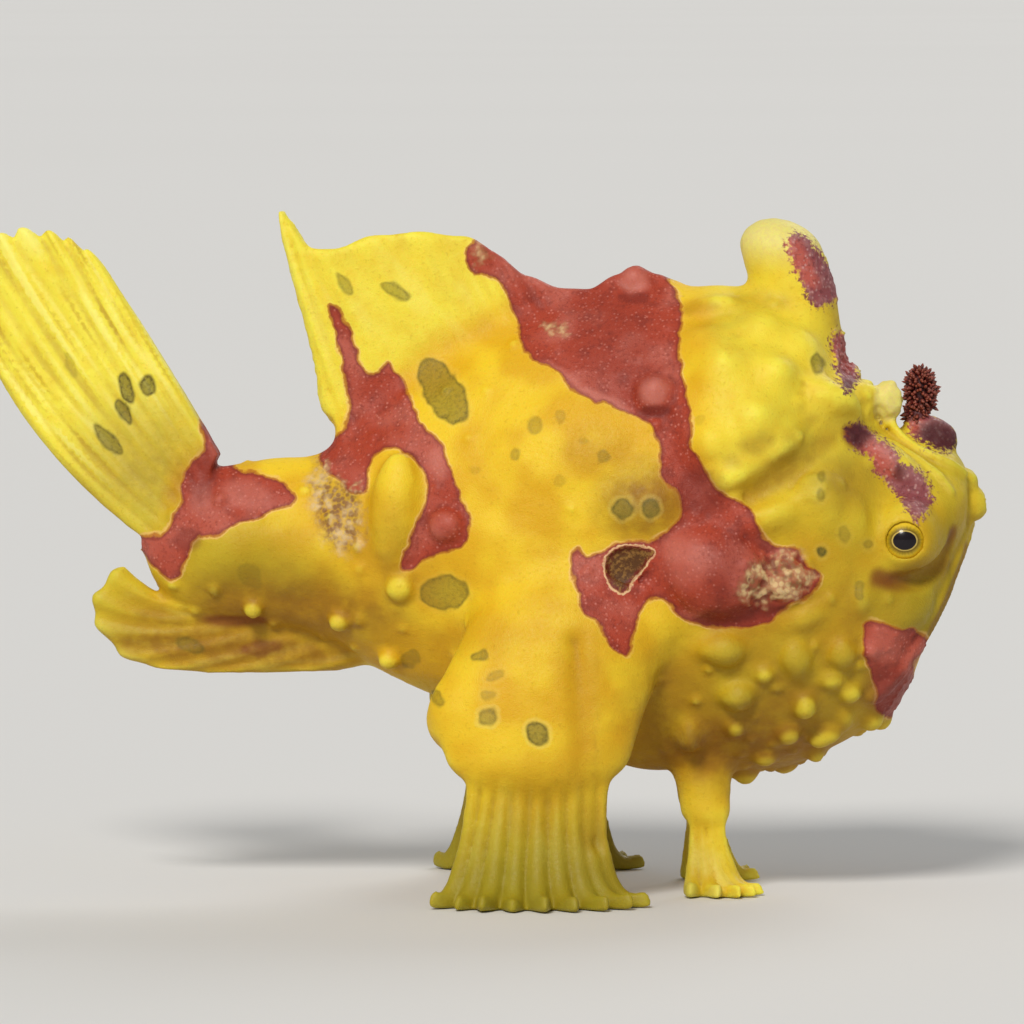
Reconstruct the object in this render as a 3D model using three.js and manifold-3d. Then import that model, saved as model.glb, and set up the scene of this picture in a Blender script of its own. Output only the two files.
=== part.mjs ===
// A warty frogfish (Antennarius maculatus), life size, standing on its hand-like pectoral fins and its
// pelvic fins. Millimetres, +X towards the snout, +Y to the fish's left, +Z up.
// While it is built, x runs from 0 near the tail fin's tip to 98.8 at the snout, z is the height above
// the floor and y = 0 is the fish's middle plane. The last lines move the origin under its middle.
import * as THREE from "three";
import { mergeVertices } from "three/addons/utils/BufferGeometryUtils.js";
import Module from "manifold-3d";

const wasm = await Module();
wasm.setup();

const JOINT_GAP = 0.3;
const RIGHT = -1;
const LEFT = 1;

// The body in side view and from above: [x, height of the back], [x, height of the belly], [x, half width].
const BACK = [
  [14, 34], [17, 39.2], [21, 42], [26, 43], [31, 43.4], [36, 46.5], [41, 50.5], [46, 53.8], [52, 56.8],
  [58, 58.8], [64, 60], [70, 60.4], [76, 60.2], [80, 58.2], [83, 54.8], [86, 49.8], [88.5, 46.6],
  [91.5, 45.6], [94.5, 44.6], [96.4, 42.4], [97, 39],
];
const BELLY = [
  [14, 34], [15.3, 31.2], [17, 29], [21, 27.4], [27, 26.6], [33, 25], [38, 22], [43, 19.6], [48, 17.2],
  [54, 14.8], [60, 13], [66, 12], [72, 11.8], [78, 12.3], [81.5, 13.4], [84.5, 15], [87, 16.4],
  [89.2, 17.9], [90.8, 20.6], [92.3, 24.2], [94.2, 29], [95.6, 33.4], [96.5, 36.5], [97, 39],
];
const HALF_WIDTH = [
  [14, 0], [15, 2], [17, 3.2], [21, 4.4], [27, 5.6], [33, 7], [40, 9], [47, 11], [54, 12.8], [61, 14],
  [68, 14.6], [75, 14.6], [81, 14.2], [86, 13.2], [90, 11.8], [93, 10.2], [95.3, 8], [96.4, 5.8], [97, 0],
];
// Its sections are ellipses, narrowed at the back and filled out at the belly.
const BACK_TAPER = 0.22;
const BELLY_FULLNESS = 0.8;

// Where the body is parted: behind the head, before the tail stalk, and along the mouth.
const HEAD_CUT = { x: 68, lean: -0.12 };
const STALK_CUT = { x: 31, lean: 0.1 };
const CUT_LEVEL = 36;
const MOUTH_LINE = [[96.9, 37.2], [95.7, 34.5], [93.8, 30], [91.8, 26.2], [89.4, 22.6], [87.2, 20.2]];
const CHIN_BACK = [79, 10.5];
const LIP_RADIUS = 0.95;

// Eyes, each under the skin of a round orbit with a round opening.
const EYE = { x: 89.9, y: 11, z: 35.8, radius: 2.5, opening: 1.95 };
const ORBIT = { x: 89.8, y: 9.8, z: 35.8, radius: 3.9 };

// The third dorsal spine: ovals with half axes a along x and b along y, from its root to its tip.
const THIRD_SPINE = [
  { at: [80, 0, 51], a: 4.6, b: 4.4 },
  { at: [79.6, 0, 56], a: 4.5, b: 4.2 },
  { at: [79.3, 0, 60], a: 4.2, b: 3.8 },
  { at: [78.2, 0, 63.6], a: 4.1, b: 3.8 },
  { at: [77.3, 0, 67.2], a: 3.9, b: 3.6 },
];
// The second dorsal spine: a smooth lobe with a frilled tuft.
const SECOND_SPINE_LOBE = { at: [93, -0.4, 45.9], radii: [2.8, 1.6, 1.5], tilt: 0.42 };
const SECOND_SPINE_TUFT = { at: [92, -0.3, 49.9], radii: [1.6, 1.5, 2.5] };
const TUFT_KNOBS = { rings: 3, perRing: 4, radius: 0.6 };
// The first dorsal spine is the lure, folded back along the right of the snout: [x, z] on the skin, then
// its free end, which carries the bait.
const LURE_ROD = [[96.1, 41.9], [94.6, 43], [92.4, 44], [90.4, 45.2]];
const LURE_ROD_END = [88.8, -2.6, 47];
const LURE_ROD_RADIUS = 0.5;
const LURE_BAIT = { at: [88.6, -2.4, 49.1], radii: [1.5, 1.4, 1.9] };

// Fins: each key ray is [root, bend, tip], listed from one end of the fin to the other.
const DORSAL_FIN = {
  keys: [
    [[69, 0, 56], [68.4, 0, 58.6], [67.4, 0, 60.6]],
    [[65, 0, 56], [64.4, 0, 59.4], [63.6, 0, 62.2]],
    [[61, 0, 55.4], [59.9, 0, 58], [58.4, 0, 59.9]],
    [[57, 0, 53.8], [55, 0, 57.2], [52.6, 0, 61.4]],
    [[53, 0, 52], [50.4, 0, 57.4], [47.4, 0, 65]],
    [[48, 0, 49], [43.6, 0, 56], [38.4, 0, 65.5]],
    [[41, 0, 45.5], [36.5, 0, 53], [31.5, 0, 64]],
    [[37, 0, 42.5], [33.6, 0.3, 49], [28.2, 0.8, 67.8]],
    [[35.4, 0, 41.2], [33.4, 0.3, 46.4], [33.2, 0.5, 52.6]],
  ],
  rays: 13,
  steps: 7,
  rootHalf: 2.2,
  tipHalf: 0.45,
  ridge: 0.3,
  scallop: 0.4,
};
const ANAL_FIN = {
  keys: [
    [[40, 0, 24], [37, 0, 22.4], [33.5, 0, 21.9]],
    [[35, 0, 26], [27, 0, 22.5], [20, 0, 21.9]],
    [[30, 0, 27.5], [21, 0, 23.5], [12.6, -0.3, 23.4]],
    [[25, 0, 28.5], [17, 0, 25], [9.4, -0.5, 28.6]],
    [[22, 0, 28.8], [16.2, -0.2, 28], [12.4, -0.6, 32.6]],
  ],
  rays: 7,
  steps: 6,
  rootHalf: 1.5,
  tipHalf: 0.7,
  ridge: 0.28,
  scallop: 0.5,
};
const TAIL_FIN = {
  keys: [
    [[22, 0, 43.6], [16.8, 0.6, 52.6], [9.8, 2.4, 63.4]],
    [[20.5, 0, 41], [12.6, 0.8, 53], [5.4, 3, 65.8]],
    [[18.8, 0, 39], [8.8, 0.9, 50.6], [-0.2, 3.4, 65.6]],
    [[17.2, 0, 36.8], [5.6, 0.9, 46.6], [-2.4, 3.2, 60.6]],
    [[15.4, 0, 34.6], [4.8, 0.7, 41.6], [-2, 2.6, 54.4]],
  ],
  rays: 9,
  steps: 8,
  rootHalf: 1.8,
  tipHalf: 0.4,
  ridge: 0.3,
  scallop: 0.8,
};

// The right limbs, from the body to the floor: ovals with half axes a and b as above, and fans of rays
// whose ends lie on the floor.
const ARM = [
  { at: [58.5, -8, 35], a: 7.6, b: 5 },
  { at: [57, -12, 28], a: 9.8, b: 4.6 },
  { at: [54.4, -14.4, 21], a: 10.6, b: 3.9 },
  { at: [53.8, -15.8, 16], a: 9.4, b: 3.1 },
  { at: [53.6, -16.6, 10.4], a: 7.9, b: 2.4 },
];
const ELBOW = { at: [45.8, -13.8, 18.2], radii: [3, 2.6, 3.2] };
const HAND = {
  keys: [
    [[60.8, -16.2, 13.5], [59.4, -16.6, -1.6], [64.6, -17.6, 0.5]],
    [[57.8, -16.6, 13.5], [57.2, -17.4, -1.8], [60.4, -21.4, 0.5]],
    [[54, -16.6, 13.5], [53.2, -17.8, -1.8], [54.2, -23, 0.5]],
    [[50.2, -16.6, 13.5], [48.8, -17.4, -1.8], [47.8, -22, 0.5]],
    [[47, -16.2, 13.5], [45.8, -16.6, -1.6], [43, -18.8, 0.5]],
  ],
  rays: 9,
  steps: 7,
  rootHalf: 1.1,
  tipHalf: 0.4,
  ridge: 0.45,
  scallop: 1.4,
};
const LEG = [
  { at: [69.6, -4.4, 16.5], a: 3, b: 2.4 },
  { at: [70.2, -5.4, 11.6], a: 2.8, b: 2.1 },
  { at: [70.6, -6.2, 6.6], a: 2.2, b: 1.6 },
];
const FOOT = {
  keys: [
    [[72.2, -6, 8.8], [72.4, -6.6, -1], [76, -6.6, 0.5]],
    [[70.8, -6.2, 8.8], [71.2, -7, -1.2], [73.4, -10, 0.5]],
    [[69, -6, 8.8], [68.8, -6.6, -1], [67.8, -9.2, 0.5]],
  ],
  rays: 5,
  steps: 5,
  rootHalf: 0.9,
  tipHalf: 0.4,
  ridge: 0.4,
  scallop: 1,
};

// A long fleshy lobe that stands up from the hind flank.
const FLANK_LOBE = { x: 39.8, z: 38.2, sunk: 0.9, radii: [2.7, 2.6, 6] };
// The largest warts and knobs: [x, z, radius along the skin, height out of it].
const LARGE_WARTS = [
  [72.5, 24, 1.5, 1.2], [73.8, 19.4, 1.4, 1.3], [81.8, 15.4, 1.1, 1.2], [79.6, 23.2, 1.3, 0.9],
  [84.2, 23.6, 1.2, 0.9], [85, 19.8, 1.1, 1], [65.5, 49.5, 1.7, 0.9], [44.5, 36.4, 1.5, 1.2],
  [25.4, 28.3, 0.9, 1.1], [34, 27, 1, 1.2], [40, 30.2, 1.3, 1], [39, 23.2, 1.1, 1.2],
];
// Fields of lesser warts: where they lie, how many there are, how far apart, and their size.
const WART_FIELDS = [
  { x: [72, 88.5], z: [13, 33], count: 18, apart: 2.9, radius: 1, height: 0.95 },
  { x: [70.5, 85], z: [37, 57], count: 9, apart: 4.4, radius: 1.9, height: 0.85 },
  { x: [46, 64], z: [17, 24], count: 2, apart: 4, radius: 0.9, height: 0.7 },
];
const WART_SPREAD = [0.75, 1.25];
const TRIES_PER_WART = 12;
// Knobs down the middle of the forehead: [x, z, radius].
const FOREHEAD_KNOBS = [[85.3, 51.4, 0.95], [86.7, 49.3, 1]];

const COLOURS = { yellow: 0xe8cf24, cream: 0xe9e3ae, plum: 0x6e3038, gold: 0xc9a81d };

// Numbers and curves
const mix = (a, b, t) => a + (b - a) * t;
const clamp = (x, low, high) => Math.min(high, Math.max(low, x));
const onSide = (side, [x, y, z]) => [x, side === RIGHT ? y : -y, z];

// A smooth curve through [x, value] knots, with no overshoot between them.
function profile(knots) {
  const slopes = knots.map(([x, y], i) => {
    const [before, after] = [knots[i - 1], knots[i + 1]];
    if (!before || !after) return 0;
    const s0 = (y - before[1]) / (x - before[0]);
    const s1 = (after[1] - y) / (after[0] - x);
    return s0 * s1 <= 0 ? 0 : (2 * s0 * s1) / (s0 + s1);
  });
  return (x) => {
    const next = knots.findIndex((knot) => knot[0] > x);
    const i = next < 0 ? knots.length - 2 : Math.max(0, next - 1);
    const [[x0, y0], [x1, y1]] = [knots[i], knots[i + 1]];
    const t = clamp((x - x0) / (x1 - x0), 0, 1);
    const u = 1 - t;
    const level = y0 * (1 + 2 * t) * u * u + y1 * t * t * (3 - 2 * t);
    return level + (x1 - x0) * t * u * (slopes[i] * u - slopes[i + 1] * t);
  };
}

const backAt = profile(BACK);
const bellyAt = profile(BELLY);
const widthAt = profile(HALF_WIDTH);
const [BODY_START, BODY_END] = [BACK[0][0], BACK.at(-1)[0]];

// The skin at x and at an angle round the body: 0 is the right flank, a quarter turn is the back.
function skinPoint(x, angle, grow = 0) {
  const middle = (backAt(x) + bellyAt(x)) / 2;
  const half = (backAt(x) - bellyAt(x)) / 2;
  const [across, rise] = [Math.cos(angle), Math.sin(angle)];
  const taper = 1 - BACK_TAPER * Math.max(0, rise) ** 2;
  const full = rise < 0 ? Math.sign(across) * Math.abs(across) ** BELLY_FULLNESS : across;
  const y = -(widthAt(x) * taper + grow) * full;
  return new THREE.Vector3(x, y, middle + (half + grow) * rise);
}

// The point of one flank that is seen at x and z from the side.
function flankPoint(side, x, z) {
  const middle = (backAt(x) + bellyAt(x)) / 2;
  const half = (backAt(x) - bellyAt(x)) / 2;
  const angle = Math.asin(clamp((z - middle) / half, -1, 1));
  return skinPoint(x, side === RIGHT ? angle : Math.PI - angle);
}

// Solids
function solid(geometry) {
  const bare = geometry.clone();
  bare.deleteAttribute("normal");
  bare.deleteAttribute("uv");
  const merged = mergeVertices(bare, 1e-4);
  const corners = [];
  for (let i = 0; i < merged.index.count; i += 3) {
    const [a, b, c] = merged.index.array.slice(i, i + 3);
    if (a !== b && b !== c && c !== a) corners.push([a, b, c]);
  }
  const build = (triangles) =>
    new wasm.Manifold(
      new wasm.Mesh({
        numProp: 3,
        vertProperties: merged.attributes.position.array,
        triVerts: new Uint32Array(triangles.flat()),
      }),
    );
  const made = build(corners);
  return made.volume() > 0 ? made : build(corners.map(([a, b, c]) => [a, c, b]));
}

const joined = (pieces) => pieces.reduce((all, piece) => all.add(piece));

// The largest closed surface of a solid, so that no scrap or sealed hollow is left.
function largest(made) {
  return made.decompose().reduce((best, piece) => (piece.volume() > best.volume() ? piece : best));
}

// A sphere's mesh with its vertices moved to place(turn, along): turn goes round, along from end to end.
function wrapped(around, along, place) {
  const sphere = new THREE.SphereGeometry(1, around, along);
  const { position, uv } = sphere.attributes;
  for (let i = 0; i < position.count; i += 1) {
    const share = 1 - uv.getY(i);
    const atEnd = share < 1e-6 || share > 1 - 1e-6;
    const turn = atEnd ? 0 : (Math.round(uv.getX(i) * around) % around) / around;
    const point = place(turn, share);
    position.setXYZ(i, point.x, point.y, point.z);
  }
  return sphere;
}

function ellipsoid([x, y, z], [rx, ry, rz], tilt = 0, around = 10, along = 7) {
  const shape = new THREE.SphereGeometry(1, around, along);
  shape.scale(rx, ry, rz);
  shape.rotateY(tilt);
  shape.translate(x, y, z);
  return solid(shape);
}

// A round rod along a smooth path. Its section has twice as many sides as halfSides.
function rod(points, radius, steps, halfSides) {
  const section = new THREE.Shape();
  section.absarc(0, 0, radius, 0, 2 * Math.PI);
  const extrudePath = new THREE.CatmullRomCurve3(points.map((p) => new THREE.Vector3(...p)));
  const settings = { extrudePath, steps, curveSegments: halfSides, bevelEnabled: false };
  return solid(new THREE.ExtrudeGeometry(section, settings));
}

// A side-view outline carried across the whole width of the fish.
function slice(outline) {
  const halfWidth = 40;
  const shape = new THREE.Shape(outline.map(([x, z]) => new THREE.Vector2(x, z)));
  const made = new THREE.ExtrudeGeometry(shape, { depth: 2 * halfWidth, bevelEnabled: false });
  made.rotateX(Math.PI / 2);
  made.translate(0, halfWidth, 0);
  return solid(made);
}

// A limb or spine through its ovals, with rounded ends. cap is the share of its length that each end rounds.
function limb(keys, { around = 12, along = 9, grow = 0, cap = 0.18 } = {}) {
  const path = new THREE.CatmullRomCurve3(keys.map((k) => new THREE.Vector3(...k.at)));
  const between = (name, share) => {
    const t = share * (keys.length - 1);
    const i = Math.min(keys.length - 2, Math.floor(t));
    return mix(keys[i][name], keys[i + 1][name], t - i);
  };
  const heading = Math.sign(keys.at(-1).at[2] - keys[0].at[2]);
  return solid(
    wrapped(around, along, (turn, share) => {
      const over = (share - clamp(share, cap, 1 - cap)) / cap;
      const round = Math.sqrt(Math.max(0, 1 - over * over));
      const angle = 2 * Math.PI * turn;
      const point = path.getPoint(share);
      point.x += (between("a", share) + grow) * round * Math.cos(angle);
      point.y += (between("b", share) + grow) * round * Math.sin(angle);
      point.z += grow * heading * (2 * share - 1);
      return point;
    }),
  );
}

// A fin is a curved plate with two faces. Each ray is a ridge on both, and the margin is scalloped to it.
// Both faces are split into triangles alike.
function fin({ keys, rays, steps, rootHalf, tipHalf, ridge, scallop }) {
  const line = (n) => new THREE.CatmullRomCurve3(keys.map((k) => new THREE.Vector3(...k[n])), false, "centripetal");
  const [roots, bends, tips] = [line(0), line(1), line(2)];
  const crest = (u) => 0.5 - 0.5 * Math.cos(2 * Math.PI * rays * u);
  const middle = (u, v) => {
    const [root, bend, tip] = [roots.getPoint(u), bends.getPoint(u), tips.getPoint(u)];
    tip.addScaledVector(tip.clone().sub(bend).normalize(), scallop * crest(u));
    const w = 1 - v;
    return root.multiplyScalar(w * w).addScaledVector(bend, 2 * v * w).addScaledVector(tip, v * v);
  };
  const facing = (u, v) => {
    const reach = 1e-3;
    const [s, t] = [clamp(u, reach, 1 - reach), clamp(v, reach, 1 - reach)];
    const along = middle(s, t + reach).sub(middle(s, t - reach));
    const across = middle(s + reach, t).sub(middle(s - reach, t));
    return along.cross(across).normalize();
  };
  const columns = 2 * rays;
  const perFace = (columns + 1) * (steps + 1);
  const at = (face, i, j) => face * perFace + j * (columns + 1) + i;
  const positions = [];
  for (const sign of [1, -1]) {
    for (let j = 0; j <= steps; j += 1) {
      for (let i = 0; i <= columns; i += 1) {
        const [u, v] = [i / columns, j / steps];
        const edge = mix(1, clamp(4 * rays * Math.min(u, 1 - u), 0.4, 1), v);
        const half = mix(rootHalf, tipHalf, v) * edge + ridge * crest(u) * mix(0.4, 1, v);
        const point = middle(u, v).addScaledVector(facing(u, v), sign * half);
        positions.push(point.x, point.y, point.z);
      }
    }
  }
  const corners = [];
  for (let j = 0; j < steps; j += 1) {
    for (let i = 0; i < columns; i += 1) {
      const [a, b, c, d] = [at(0, i, j), at(0, i + 1, j), at(0, i + 1, j + 1), at(0, i, j + 1)];
      corners.push(a, b, c, a, c, d);
      corners.push(a + perFace, c + perFace, b + perFace, a + perFace, d + perFace, c + perFace);
    }
  }
  const rim = (a, b) => corners.push(a, a + perFace, b + perFace, a, b + perFace, b);
  for (let i = 0; i < columns; i += 1) {
    rim(at(0, i, 0), at(0, i + 1, 0));
    rim(at(0, i + 1, steps), at(0, i, steps));
  }
  for (let j = 0; j < steps; j += 1) {
    rim(at(0, 0, j + 1), at(0, 0, j));
    rim(at(0, columns, j), at(0, columns, j + 1));
  }
  const shape = new THREE.BufferGeometry();
  shape.setAttribute("position", new THREE.Float32BufferAttribute(positions, 3));
  shape.setIndex(corners);
  return solid(shape);
}

// The body without its warts and features
function bodyShell(grow = 0) {
  return solid(
    wrapped(28, 36, (turn, share) => {
      const x = mix(BODY_START - grow, BODY_END + grow, 0.5 - 0.5 * Math.cos(Math.PI * share));
      const atEnd = share < 1e-6 || share > 1 - 1e-6;
      const point = skinPoint(clamp(x, BODY_START, BODY_END), 2 * Math.PI * turn, atEnd ? 0 : grow);
      point.x = x;
      return point;
    }),
  );
}

const clearBody = bodyShell(JOINT_GAP);

// What grows from the body
const FLOOR = slice([[-40, -20], [140, -20], [140, 0], [-40, 0]]);

const limbOn = (side, keys, options) =>
  limb(keys.map((key) => ({ ...key, at: onSide(side, key.at) })), options);
const finOn = (side, form) =>
  fin({ ...form, keys: form.keys.map((ray) => ray.map((point) => onSide(side, point))) });

const ARM_MESH = { around: 14, along: 9 };
const LEG_MESH = { around: 10, along: 6 };

function limbs(side) {
  const elbow = ellipsoid(onSide(side, ELBOW.at), ELBOW.radii);
  const arm = limbOn(side, ARM, ARM_MESH).add(elbow);
  const leg = limbOn(side, LEG, LEG_MESH);
  const armRoom = limbOn(side, ARM, { ...ARM_MESH, grow: JOINT_GAP });
  const legRoom = limbOn(side, LEG, { ...LEG_MESH, grow: JOINT_GAP });
  return {
    room: joined([armRoom, legRoom]),
    pectoral_arm: arm.subtract(clearBody),
    pectoral_hand: finOn(side, HAND).subtract(armRoom).subtract(FLOOR),
    pelvic_leg: leg.subtract(clearBody),
    pelvic_foot: finOn(side, FOOT).subtract(legRoom).subtract(FLOOR),
  };
}

// Small knobs over the upper part of an ellipsoid, set in rings.
function knobs({ at, radii }, { rings, perRing, radius }) {
  const made = [];
  for (let ring = 0; ring < rings; ring += 1) {
    const polar = Math.PI * mix(0.15, 0.72, ring / (rings - 1));
    for (let k = 0; k < perRing; k += 1) {
      const turn = (2 * Math.PI * (k + 0.5 * (ring % 2))) / perRing;
      const way = [Math.sin(polar) * Math.cos(turn), Math.sin(polar) * Math.sin(turn), Math.cos(polar)];
      const centre = at.map((c, i) => c + way[i] * radii[i]);
      made.push(ellipsoid(centre, [radius, radius, radius], 0, 5, 3));
    }
  }
  return made;
}

function secondSpine() {
  const lobe = ellipsoid(SECOND_SPINE_LOBE.at, SECOND_SPINE_LOBE.radii, SECOND_SPINE_LOBE.tilt, 12, 7);
  const tuft = ellipsoid(SECOND_SPINE_TUFT.at, SECOND_SPINE_TUFT.radii, 0, 10, 6);
  return joined([lobe, tuft, ...knobs(SECOND_SPINE_TUFT, TUFT_KNOBS)]).subtract(clearBody);
}

function lureRod() {
  const onSkin = LURE_ROD.map(([x, z]) => {
    const point = flankPoint(RIGHT, x, z);
    return [x, point.y - LURE_ROD_RADIUS, z];
  });
  const baitRoom = ellipsoid(LURE_BAIT.at, LURE_BAIT.radii.map((r) => r + JOINT_GAP));
  return rod([...onSkin, LURE_ROD_END], LURE_ROD_RADIUS, 9, 3).subtract(clearBody).subtract(baitRoom);
}

// Warts
// Numbers from 0 to 1 drawn from a seed.
function seeded(seed) {
  let state = seed;
  return () => {
    state = (Math.imul(state, 1664525) + 1013904223) >>> 0;
    return state / 4294967296;
  };
}

// A wart half sunk in the skin.
function wart(side, x, z, radius, height) {
  const at = flankPoint(side, x, z);
  const reach = 0.3;
  const along = flankPoint(side, x + reach, z).sub(flankPoint(side, x - reach, z));
  const up = flankPoint(side, x, z + reach).sub(flankPoint(side, x, z - reach));
  const out = along.cross(up).normalize();
  if (out.y * side < 0) out.negate();
  const shape = new THREE.SphereGeometry(1, 6, 3);
  shape.scale(radius, height, radius);
  shape.applyQuaternion(new THREE.Quaternion().setFromUnitVectors(new THREE.Vector3(0, 1, 0), out));
  shape.translate(at.x, at.y, at.z);
  return { at, made: solid(shape) };
}

// Whether a point of the side view is clear of the eye, the mouth and the cuts across the body.
function isPlainSkin(x, z) {
  const nearEye = Math.hypot(x - EYE.x, z - EYE.z) < ORBIT.radius + 1.6;
  const nearMouth = MOUTH_LINE.some(([mx, mz]) => Math.hypot(x - mx, z - mz) < 2.8);
  const nearCut = Math.abs(x - cutAt(HEAD_CUT, z)) < 1.6;
  const inside = z > bellyAt(x) + 0.8 && z < backAt(x) - 3;
  return inside && !nearEye && !nearMouth && !nearCut;
}

// The warts of one side, without those that would touch what grows from the body there.
function warts(side, grown) {
  const random = seeded(side === RIGHT ? 11 : 12);
  const made = LARGE_WARTS.map((size) => wart(side, ...size));
  for (const field of WART_FIELDS) {
    let left = field.count;
    for (let tries = field.count * TRIES_PER_WART; tries > 0 && left > 0; tries -= 1) {
      const [x, z] = [mix(...field.x, random()), mix(...field.z, random())];
      const size = mix(...WART_SPREAD, random());
      if (!isPlainSkin(x, z)) continue;
      const next = wart(side, x, z, field.radius * size, field.height * size);
      if (made.some((other) => other.at.distanceTo(next.at) < field.apart * size)) continue;
      made.push(next);
      left -= 1;
    }
  }
  return made.map((one) => one.made).filter((piece) => piece.intersect(grown).isEmpty());
}

// The features of the head
// The lips: one roll of skin round the mouth, from its right corner over the snout to its left.
function lips() {
  const right = MOUTH_LINE.slice(1).map(([x, z]) => flankPoint(RIGHT, x, z).toArray()).reverse();
  const left = right.map(([x, y, z]) => [x, -y, z]).reverse();
  return rod([...right, [BODY_END - 0.3, 0, MOUTH_LINE[0][1] - 0.3], ...left], LIP_RADIUS, 18, 3);
}

function headForms(side) {
  return [
    ellipsoid([ORBIT.x, side * ORBIT.y, ORBIT.z], new Array(3).fill(ORBIT.radius), 0, 14, 9),
    ellipsoid([89.2, side * 7.2, 43], [4.6, 2, 1.5], 0.72),
    ellipsoid([85, side * 2.6, 48.8], [2, 2.2, 1.6], 0.5),
    ellipsoid([97.1, side * 1.8, 38.7], [1.7, 1.35, 1.5], 0.2),
    ellipsoid([96.3, side * 2, 40.6], [0.95, 0.9, 0.95], 0, 8, 5),
  ];
}

const nostrilPit = (side) => ellipsoid([98.7, side * 2, 38.9], [0.7, 0.45, 0.5], 0, 6, 4);

function eyeball(side, grow = 0) {
  const radius = EYE.radius + grow;
  return ellipsoid([EYE.x, side * EYE.y, EYE.z], [radius, radius, radius], 0, 12, 8);
}

// The room for an eye, with its round opening that widens outwards.
function socket(side) {
  const depth = 4;
  const opening = new THREE.CylinderGeometry(EYE.opening + 0.7, EYE.opening, depth, 12);
  opening.rotateX((side * Math.PI) / 2);
  opening.translate(EYE.x, side * (EYE.y + 1 + depth / 2), EYE.z);
  return eyeball(side, JOINT_GAP).add(solid(opening));
}

function flankLobe(side) {
  const { x, z, sunk, radii } = FLANK_LOBE;
  const flank = flankPoint(side, x, z).y;
  return ellipsoid([x, flank - side * sunk, z], radii, 0.06);
}

// The cuts
const cutAt = ({ x, lean }, z) => x + lean * (z - CUT_LEVEL);

// Everything in front of a leaning cut across the body.
function inFrontOf(cut, gap) {
  const [low, high, far] = [0, 80, 130];
  return slice([[cutAt(cut, low) + gap, low], [far, low], [far, high], [cutAt(cut, high) + gap, high]]);
}

// Everything below and in front of the mouth's line.
function jawRegion(gap) {
  const [far, low] = [110, 5];
  const line = MOUTH_LINE.map(([x, z]) => [x - gap, z + gap / 2]);
  const [cornerX, cornerZ] = line.at(-1);
  const [chinX, chinZ] = [CHIN_BACK[0] - gap, CHIN_BACK[1]];
  const top = line[0][1];
  return slice([[far, top], ...line, [cornerX - 0.6, cornerZ - 0.4], [chinX, chinZ], [chinX, low], [far, low]]);
}

// The fish
const [right, left] = [limbs(RIGHT), limbs(LEFT)];
const dorsalFin = fin(DORSAL_FIN);
const analFin = fin(ANAL_FIN);
const thirdSpine = limb(THIRD_SPINE, { around: 14, along: 11, cap: 0.22 });
const grown = joined([right.room, left.room, dorsalFin, analFin, thirdSpine]);

let body = joined([
  bodyShell(),
  lips(),
  ...FOREHEAD_KNOBS.map(([x, z, radius]) => ellipsoid([x, 0, z], [radius, radius, radius], 0, 7, 5)),
  ...[RIGHT, LEFT].flatMap((side) => [...headForms(side), flankLobe(side), ...warts(side, grown)]),
]);
for (const side of [RIGHT, LEFT]) body = body.subtract(socket(side)).subtract(nostrilPit(side));

const front = body.intersect(inFrontOf(HEAD_CUT, JOINT_GAP / 2));
const behindHead = body.subtract(inFrontOf(HEAD_CUT, -JOINT_GAP / 2));

const fish = new THREE.Group();

function addNode(name, made, color, roughness = 0.62) {
  const { vertProperties, triVerts } = largest(made).getMesh();
  const geometry = new THREE.BufferGeometry();
  geometry.setAttribute("position", new THREE.BufferAttribute(vertProperties, 3));
  geometry.setIndex(new THREE.BufferAttribute(triVerts, 1));
  geometry.computeVertexNormals();
  const material = new THREE.MeshStandardMaterial({ color, roughness, metalness: 0 });
  const mesh = new THREE.Mesh(geometry, material);
  mesh.name = name;
  fish.add(mesh);
}

addNode("head", front.subtract(jawRegion(JOINT_GAP)), COLOURS.yellow);
addNode("lower_jaw", front.intersect(jawRegion(0)), COLOURS.yellow);
addNode("torso", behindHead.intersect(inFrontOf(STALK_CUT, JOINT_GAP / 2)), COLOURS.yellow);
addNode("tail_stalk", behindHead.subtract(inFrontOf(STALK_CUT, -JOINT_GAP / 2)), COLOURS.yellow);
addNode("dorsal_fin", dorsalFin.subtract(clearBody), COLOURS.yellow);
addNode("anal_fin", analFin.subtract(clearBody), COLOURS.yellow);
addNode("tail_fin", fin(TAIL_FIN).subtract(clearBody), COLOURS.yellow);
addNode("dorsal_spine_3", thirdSpine.subtract(clearBody), COLOURS.cream);
addNode("dorsal_spine_2", secondSpine(), COLOURS.plum);
addNode("lure_rod", lureRod(), COLOURS.yellow);
addNode("lure_bait", ellipsoid(LURE_BAIT.at, LURE_BAIT.radii), COLOURS.cream);

for (const [word, side, made] of [["right", RIGHT, right], ["left", LEFT, left]]) {
  addNode(`eye_${word}`, eyeball(side), COLOURS.gold, 0.15);
  for (const name of ["pectoral_arm", "pectoral_hand", "pelvic_leg", "pelvic_foot"]) {
    addNode(`${name}_${word}`, made[name], COLOURS.yellow);
  }
}

// The origin goes on the floor under the middle of the fish.
const bounds = new THREE.Box3().setFromObject(fish);
const centre = bounds.getCenter(new THREE.Vector3());
fish.position.set(-centre.x, -centre.y, -bounds.min.z);

export default fish;
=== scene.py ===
# A life-size warty frogfish, standing still on its fins as a museum shows it.
# Shapes are worked out in millimetres, +X towards the snout, +Y to the fish's left and +Z up from the
# floor, with x = 0 near the tail fin's tip and y = 0 in the fish's middle plane. Markings are placed by
# pixels of the photograph, 1024 by 1024, where ten pixels are a millimetre of that middle plane.
import math

import bpy
import numpy as np
import openvdb as vdb
from mathutils import Matrix, Vector
from mathutils.kdtree import KDTree


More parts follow.
